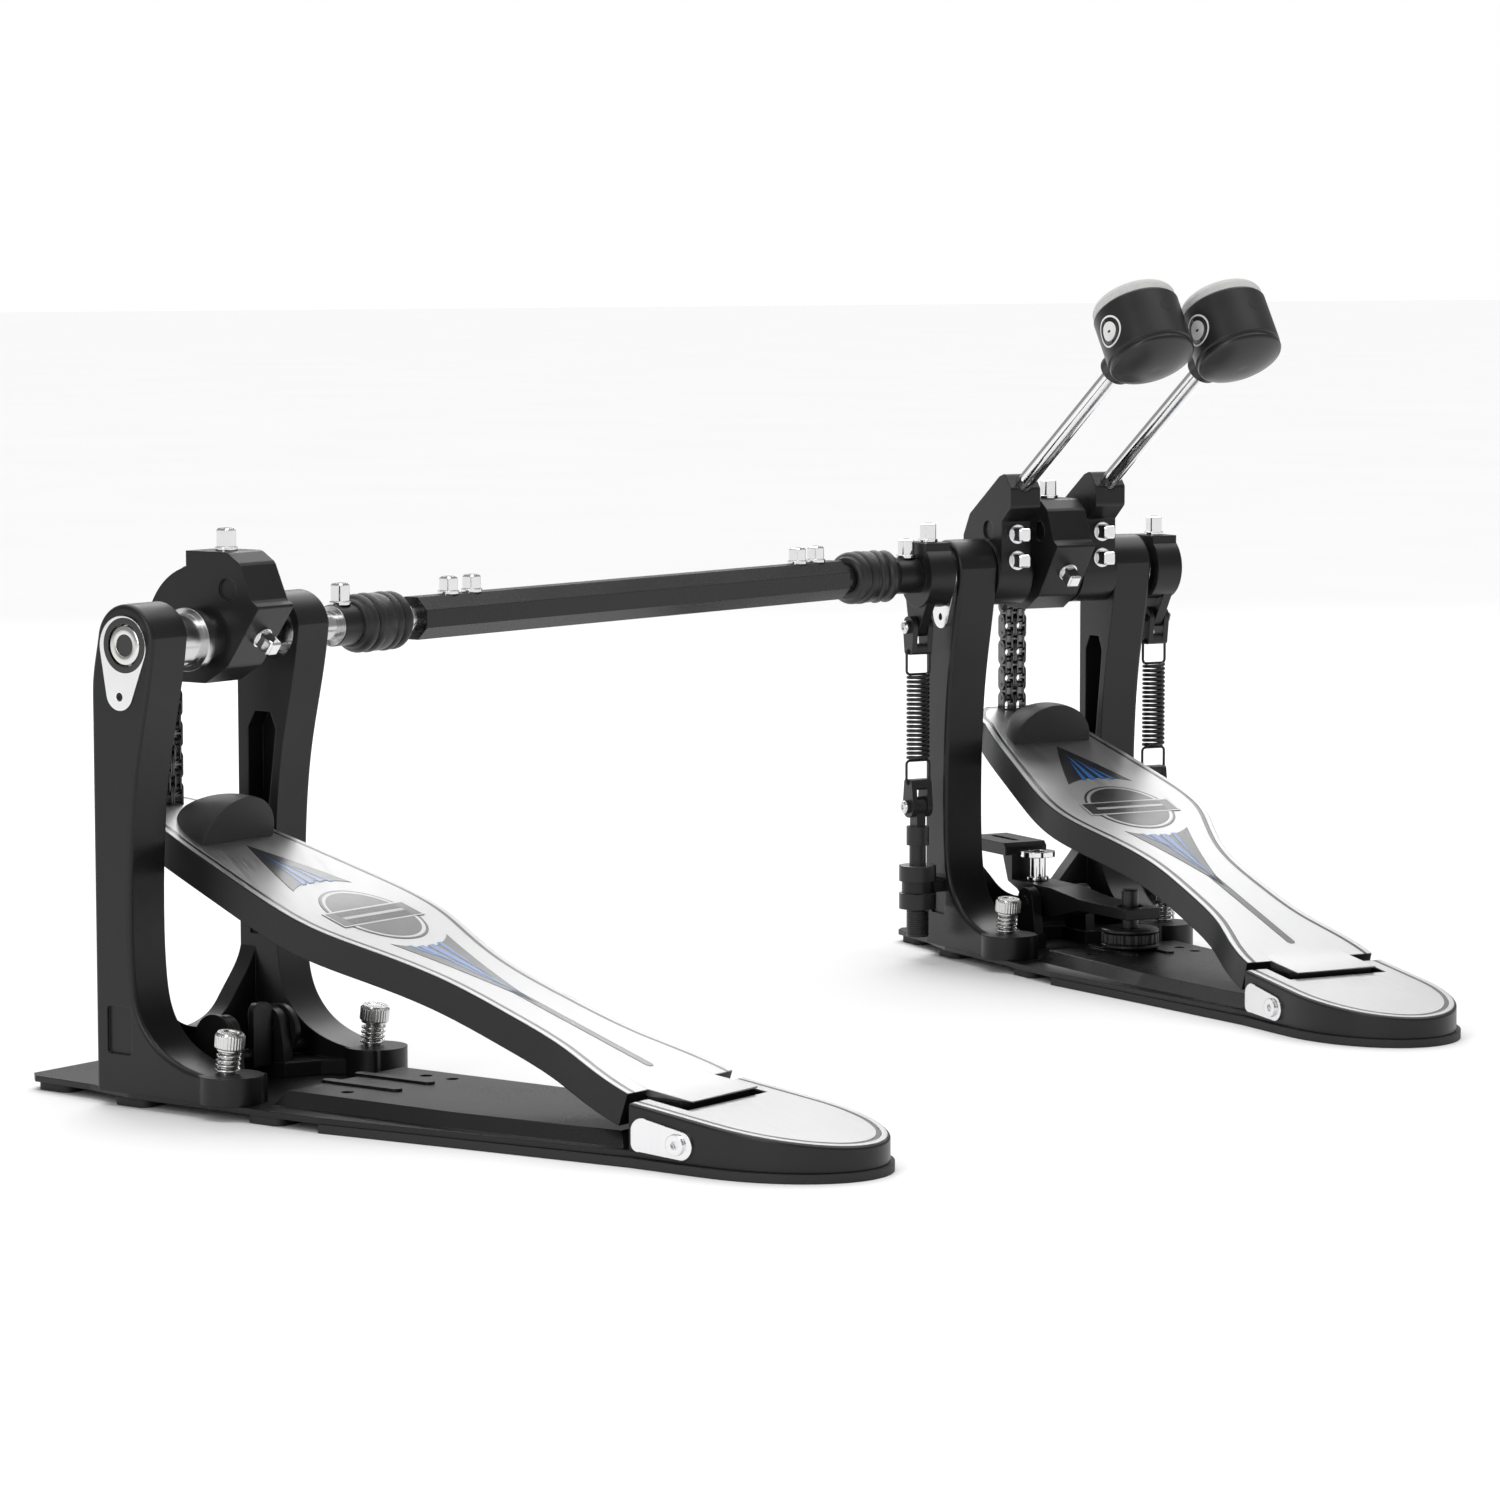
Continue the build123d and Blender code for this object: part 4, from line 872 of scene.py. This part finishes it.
# %% Sleeves and rings on the axles
X_OUT = turned("Y", 90)
for name, place, low, high, body in (("slave", PEDALS["slave"], 69.2, 80.6, "slave_axle"),
                                     ("left_axle", PRIMARY, -82.1, -70.3, "left_axle")):
    sleeve = lathe(bmesh.new(), [(8.3, low), (8.7, low + 0.3), (8.7, high - 0.3), (8.3, high)], 48)
    keep(f"{name}_fork_sleeve", moved(sleeve, Matrix.Translation((0, 0, AXLE)) @ X_OUT), place,
         casting_black,
         body, smooth=40)
PLATE_FACE = 54.42
for pedal, place in PEDALS.items():
    for side in (-1, 1):
        # a flat black ring: painted shade for the recessed gap round the axle in the silver plate
        ring = lathe(bmesh.new(), [(8.5, -0.5), (8.5, 0.12), (11.0, 0.12), (11.0, -0.5)], 56)
        keep(f"{pedal}_bearing_ring_{'left' if side < 0 else 'right'}",
             moved(ring, Matrix.Translation((side * PLATE_FACE, 0, AXLE)) @ turned("Y",
                     90 * side)), place,
             line_and_shade_black, f"{pedal}_frame", smooth=40)
end = Matrix.Translation((-53.8, 0, AXLE)) @ turned("Y", -90)
keep("slave_axle_end_ring", moved(lathe(bmesh.new(),
                                        [(4.4, 0.1), (4.4, 0.5), (4.9, 0.7), (7.3, 0.7),
                                         (7.8, 0.3), (7.8, 0)], 56), end),
     PEDALS["slave"], nickel, "slave_axle", smooth=40)
# a flat black disc inside the steel ring: painted shade for the hollow of the bore
keep("slave_axle_bore_painted_shade", moved(lathe(bmesh.new(), [(0, 0.1), (4.4, 0.12)], 48), end),
     PEDALS["slave"], line_and_shade_black,
     "slave_axle", smooth=40)
print("sleeves and bearing rings on")

# %% [markdown]
# ## Spurs
# A spur is a screw with a knurled head and a sharp point. A small compression spring under the
# head keeps it from rattling loose, and it leans a little so that the point digs in.


# %% Spur with its spring
def ribbed_ring(radius, depth, low, high, ribs, lip=0.5):
    """A knurled band: a lathe blank with every second pair of columns pulled in."""
    bm = lathe(bmesh.new(), [(0, low), (radius - lip, low), (radius, low + lip),
                             (radius, high - lip),
                             (radius - lip, high), (0, high)], steps=ribs * 4)
    for v in bm.verts:
        reach = math.hypot(v.co.x, v.co.y)
        if reach > radius - lip - depth:
            turn = round(math.atan2(v.co.y, v.co.x) / (math.tau / (ribs * 4)))
            if turn % 4 in (0, 1):
                v.co.x *= (reach - depth) / reach
                v.co.y *= (reach - depth) / reach
    return bm


SPUR_X, SPUR_Y, SPUR_FOOT, SPUR_TILT = 43.8, -42.2, 17.0, 7.0


def spur_parts():
    screw = lathe(bmesh.new(), [(0, -15.5), (3.3, -11), (3.3, 9), (4.2, 9.2), (5.2, 9.6),
                                (5.2, 10.4), (0, 10.4)], 32)
    head = ribbed_ring(6.0, 0.2, 10.4, 16.2, 30)
    cap = lathe(bmesh.new(), [(0, 16.1), (5.4, 16.1), (5.2, 16.9), (3.4, 16.9), (3.0, 16.5),
                              (0, 16.5)], 32)
    return [screw, head, cap, wire_along(helix(4.5, 0.7, 9.0, 4.2), 0.55)]


for pedal, place in PEDALS.items():
    for side, x in (("left", -SPUR_X), ("right", SPUR_X)):
        lean = turned("X", SPUR_TILT, (x, SPUR_Y, SPUR_FOOT))
        keep(f"{pedal}_spur_{side}_screw", joined(spur_parts()), place @ lean, nickel,
             f"{pedal}_spur_{side}", replaces=(f"{pedal}_spur_{side}",), smooth=25)
print("four spurs")

# %% [markdown]
# ## Knurled nuts and threads of the spring tension rods
# The CAD rods stay. Knurled rings go over their plain nuts, thread ridges over the rod's end, and
# a bright screw head over each lower pivot.

# %% Tension nuts
NUTS = ((25.0, 32.4), (38.3, 45.7))
for side, x in (("left", -SPRING_X), ("right", SPRING_X)):
    at = Matrix.Translation((x, SPRING_Y, 0))
    rings = [ribbed_ring(8.88, 0.3, low - 0.05, high + 0.05, 40, lip=0.7) for low, high in NUTS]
    keep(f"{side}_tension_nuts", moved(joined(rings), at), PRIMARY, nickel,
         "primary_frame",
         smooth=25)
    ridges = [lathe(bmesh.new(), [(5.1, z), (5.45, z + 0.5), (5.1, z + 1.0)],
                    24) for z in range(12, 24)]
    keep(f"{side}_tension_thread", moved(joined(ridges), at), PRIMARY, steel_black,
         "primary_frame")
    for end, z in (("lower", 74.0), ("upper", 160.0)):
        screw = lathe(bmesh.new(), [(0, 0), (3.1, 0), (3.1, 0.5), (2.4, 1.2), (1.2, 1.3),
                                    (1.2, 0.8), (0, 0.8)], 28)
        outside = Matrix.Translation((x + math.copysign(7.0, x), SPRING_Y, z)) @ turned("Y",
                math.copysign(90, x))
        keep(f"{side}_{end}_pin_screw", moved(screw, outside), PRIMARY, nickel,
             f"{side}_{end}_clevis")
print("tension rods finished")

# %% [markdown]
# ## Hoop clamp and the slave's base
# The clamp's knob has finger ribs between two rims. On the slave the same lugs carry two round
# cheeks, a paddle and a cross rod instead of a rocker.

# %% Clamp knob and slave lugs
KNOB_Y, KNOB_LOW, KNOB_HIGH = -82.0, 12.9, 21.9
grip = ribbed_ring(13.5, 0.7, KNOB_LOW + 2.0, KNOB_HIGH - 2.2, 22, lip=0.4)
rims = [lathe(bmesh.new(), [(0, low), (12.9, low), (13.5, low + 0.5), (13.5, low + 1.4),
                            (12.9, low + 1.9), (0, low + 1.9)], 64)
        for low in (KNOB_LOW, KNOB_HIGH - 1.9)]
post = lathe(bmesh.new(), [(0, KNOB_HIGH - 0.2), (4, KNOB_HIGH - 0.2), (4, 39.4), (3.4, 39.9),
                           (0, 39.9)], 28)
keep("clamp_knob_ribs", moved(joined([grip, post, *rims]), Matrix.Translation((0, KNOB_Y, 0))),
     PRIMARY, knob_black,
     "clamp_knob", replaces=("clamp_knob",), smooth=30)
cheek_outline = circle_points(10.5, 40, centre=(-14, 24.5))
cheeks = [across(cheek_outline, low, low + 2.6) for low in (-20.2, 17.4)]
paddle = slab(bmesh.new(), [(-5.5, 11), (5.5, 11), (5.5, 32),
                            *circle_points(3.5, 6, 0, 90, (2, 33.5)),
                            *circle_points(3.5, 6, 90, 90, (-2, 33.5)), (-5.5, 32)], -1.5, 1.5)
paddle = moved(paddle, Matrix.Translation((5, -16, 0)) @ turned("X", 90))
rod = across(circle_points(2.6, 24, centre=(-14, 16)), -20, 40)
keep("slave_lug_cheeks", joined([*cheeks, paddle, rod]), PEDALS["slave"], casting_black,
     "slave_frame", smooth=30)
print("clamp and slave base finished")

# %% [markdown]
# ## Beater labels
# Each head wears a small round label on its side. Its round hole is a flat black patch, painted shade
# where the hole is. The label is left plain.

# %% Labels and holes on the heads
ROD_LEAN, ROD_OFFSET, HEAD_ALONG = 56.0, 23.3, 171.0
HEAD_RADIUS = 20.0


def patch(angle, height, radius, lift, hole=0.0):
    """A round patch wrapped on the head's side: the label and its ring, and the painted shade of the
    hole.
    """
    bm = bmesh.new()
    rings = [corners_of(bm, [(radius * share * x, radius * share * y, 0) for x,
                             y in circle_points(1, 32)])
             for share in ((hole or 0.35), 0.7, 1.0)]
    if not hole:
        bm.faces.new(rings[0])
    for low, high in zip(rings, rings[1:]):
        for k in range(32):
            bm.faces.new((low[k], low[(k + 1) % 32], high[(k + 1) % 32], high[k]))
    for v in bm.verts:
        turn = math.radians(angle) + v.co.x / HEAD_RADIUS
        v.co = Vector(((HEAD_RADIUS + lift) * math.cos(turn), (HEAD_RADIUS + lift) * math.sin(turn),
                       height + v.co.y))
    return bm


for side, x in (("left", -23.5), ("right", 23.5)):
    lean = math.radians(ROD_LEAN)
    rod_foot = Vector((x, ROD_OFFSET * math.cos(lean), AXLE + ROD_OFFSET * math.sin(lean)))
    middle = rod_foot + Vector((0, -math.sin(lean), math.cos(lean))) * HEAD_ALONG
    head = Matrix.Translation(middle) @ Matrix.Rotation(-math.radians(90 - ROD_LEAN), 4, "X")
    body = f"{side}_beater_head"
    keep(f"{side}_beater_label", patch(188, 0.7, 7.4, 0.12), PRIMARY @ head, label_white,
         body, smooth=60)
    keep(f"{side}_label_line", patch(188, 0.7, 6.5, 0.16, hole=0.93), PRIMARY @ head, line_and_shade_black,
         body, smooth=60)
    # a flat black patch: painted shade for the head's round hole
    keep(f"{side}_head_hole_painted_shade", patch(279, 4.1, 3.3, 0.1), PRIMARY @ head, line_and_shade_black,
         body, smooth=60)
print("labels on")

# %% [markdown]
# ## Stage
# A wide pale floor under a broad soft sun, with a white surround and two large soft lights that
# draw long highlights along the castings. The surround looks brighter than it shines, so the
# black parts stay black against it.

# %% Floor
floor = bmesh.new()
bmesh.ops.create_grid(floor, x_segments=1, y_segments=1, size=20)
floor_mesh = bpy.data.meshes.new("floor")
floor.to_mesh(floor_mesh)
floor.free()
floor_object = bpy.data.objects.new("floor", floor_mesh)
bpy.context.scene.collection.objects.link(floor_object)
paper = Finish("pale_studio_floor")
tone = paper.noise(paper.place(), 3, detail=3)
paper.set(Base_Color=paper.mix(tone, (0.9, 0.9, 0.9), (0.94, 0.94, 0.94)), Roughness=0.9)
floor_mesh.materials.append(paper.material)

# %% Surround and lights
world = bpy.data.worlds.new("studio")
bpy.context.scene.world = world
world.use_nodes = True
web = world.node_tree
seen = web.nodes["Background"]
seen.inputs["Color"].default_value = (1, 1, 1, 1)
seen.inputs["Strength"].default_value = 1.0
shining = web.nodes.new("ShaderNodeBackground")
shining.inputs["Strength"].default_value = 0.42
path = web.nodes.new("ShaderNodeLightPath")
either = web.nodes.new("ShaderNodeMixShader")
web.links.new(path.outputs["Is Camera Ray"], either.inputs["Fac"])
web.links.new(shining.outputs["Background"], either.inputs[1])
web.links.new(seen.outputs["Background"], either.inputs[2])
web.links.new(either.outputs["Shader"], web.nodes["World Output"].inputs["Surface"])


def put_light(light, at, aim):
    lamp = bpy.data.objects.new(light.name, light)
    lamp.matrix_world = (Matrix.Translation(at)
                         @ (Vector(aim) - Vector(at)).to_track_quat("-Z", "Y").to_matrix().to_4x4())
    bpy.context.scene.collection.objects.link(lamp)


def soft_light(name, at, aim, width, height, watts):
    light = bpy.data.lights.new(name, "AREA")
    light.shape = "RECTANGLE"
    light.size, light.size_y, light.energy = width, height, watts
    put_light(light, at, aim)


sun = bpy.data.lights.new("soft_sun", "SUN")
sun.energy, sun.angle = 2.35, math.radians(70)
put_light(sun, (0.5, 0.6, 3.0), (0, 0, 0))
soft_light("left_strip", (-1.5, -0.9, 0.9), (0, 0, 0.12), 0.5, 1.4, 9)
soft_light("back_strip", (0.6, 1.8, 1.2), (0, 0, 0.15), 2.0, 0.5, 12)

# %% Camera
EYE = Vector((-1237.0, -2076.5, 345.6))
HEADING, DOWN, ROLL, LENS = 27.45, 5.85, -0.07, 120.64
camera_data = bpy.data.cameras.new("camera")
camera_data.lens, camera_data.sensor_width, camera_data.clip_end = LENS, 36, 60
camera = bpy.data.objects.new("camera", camera_data)
camera.matrix_world = (Matrix.Translation(PRIMARY @ EYE) @ Matrix.Rotation(-math.radians(HEADING),
        4, "Z")
                       @ Matrix.Rotation(math.radians(90 - DOWN), 4, "X")
                       @ Matrix.Rotation(math.radians(ROLL), 4, "Z"))
bpy.context.scene.collection.objects.link(camera)
bpy.context.scene.camera = camera
bpy.context.scene.view_settings.view_transform = "Standard"
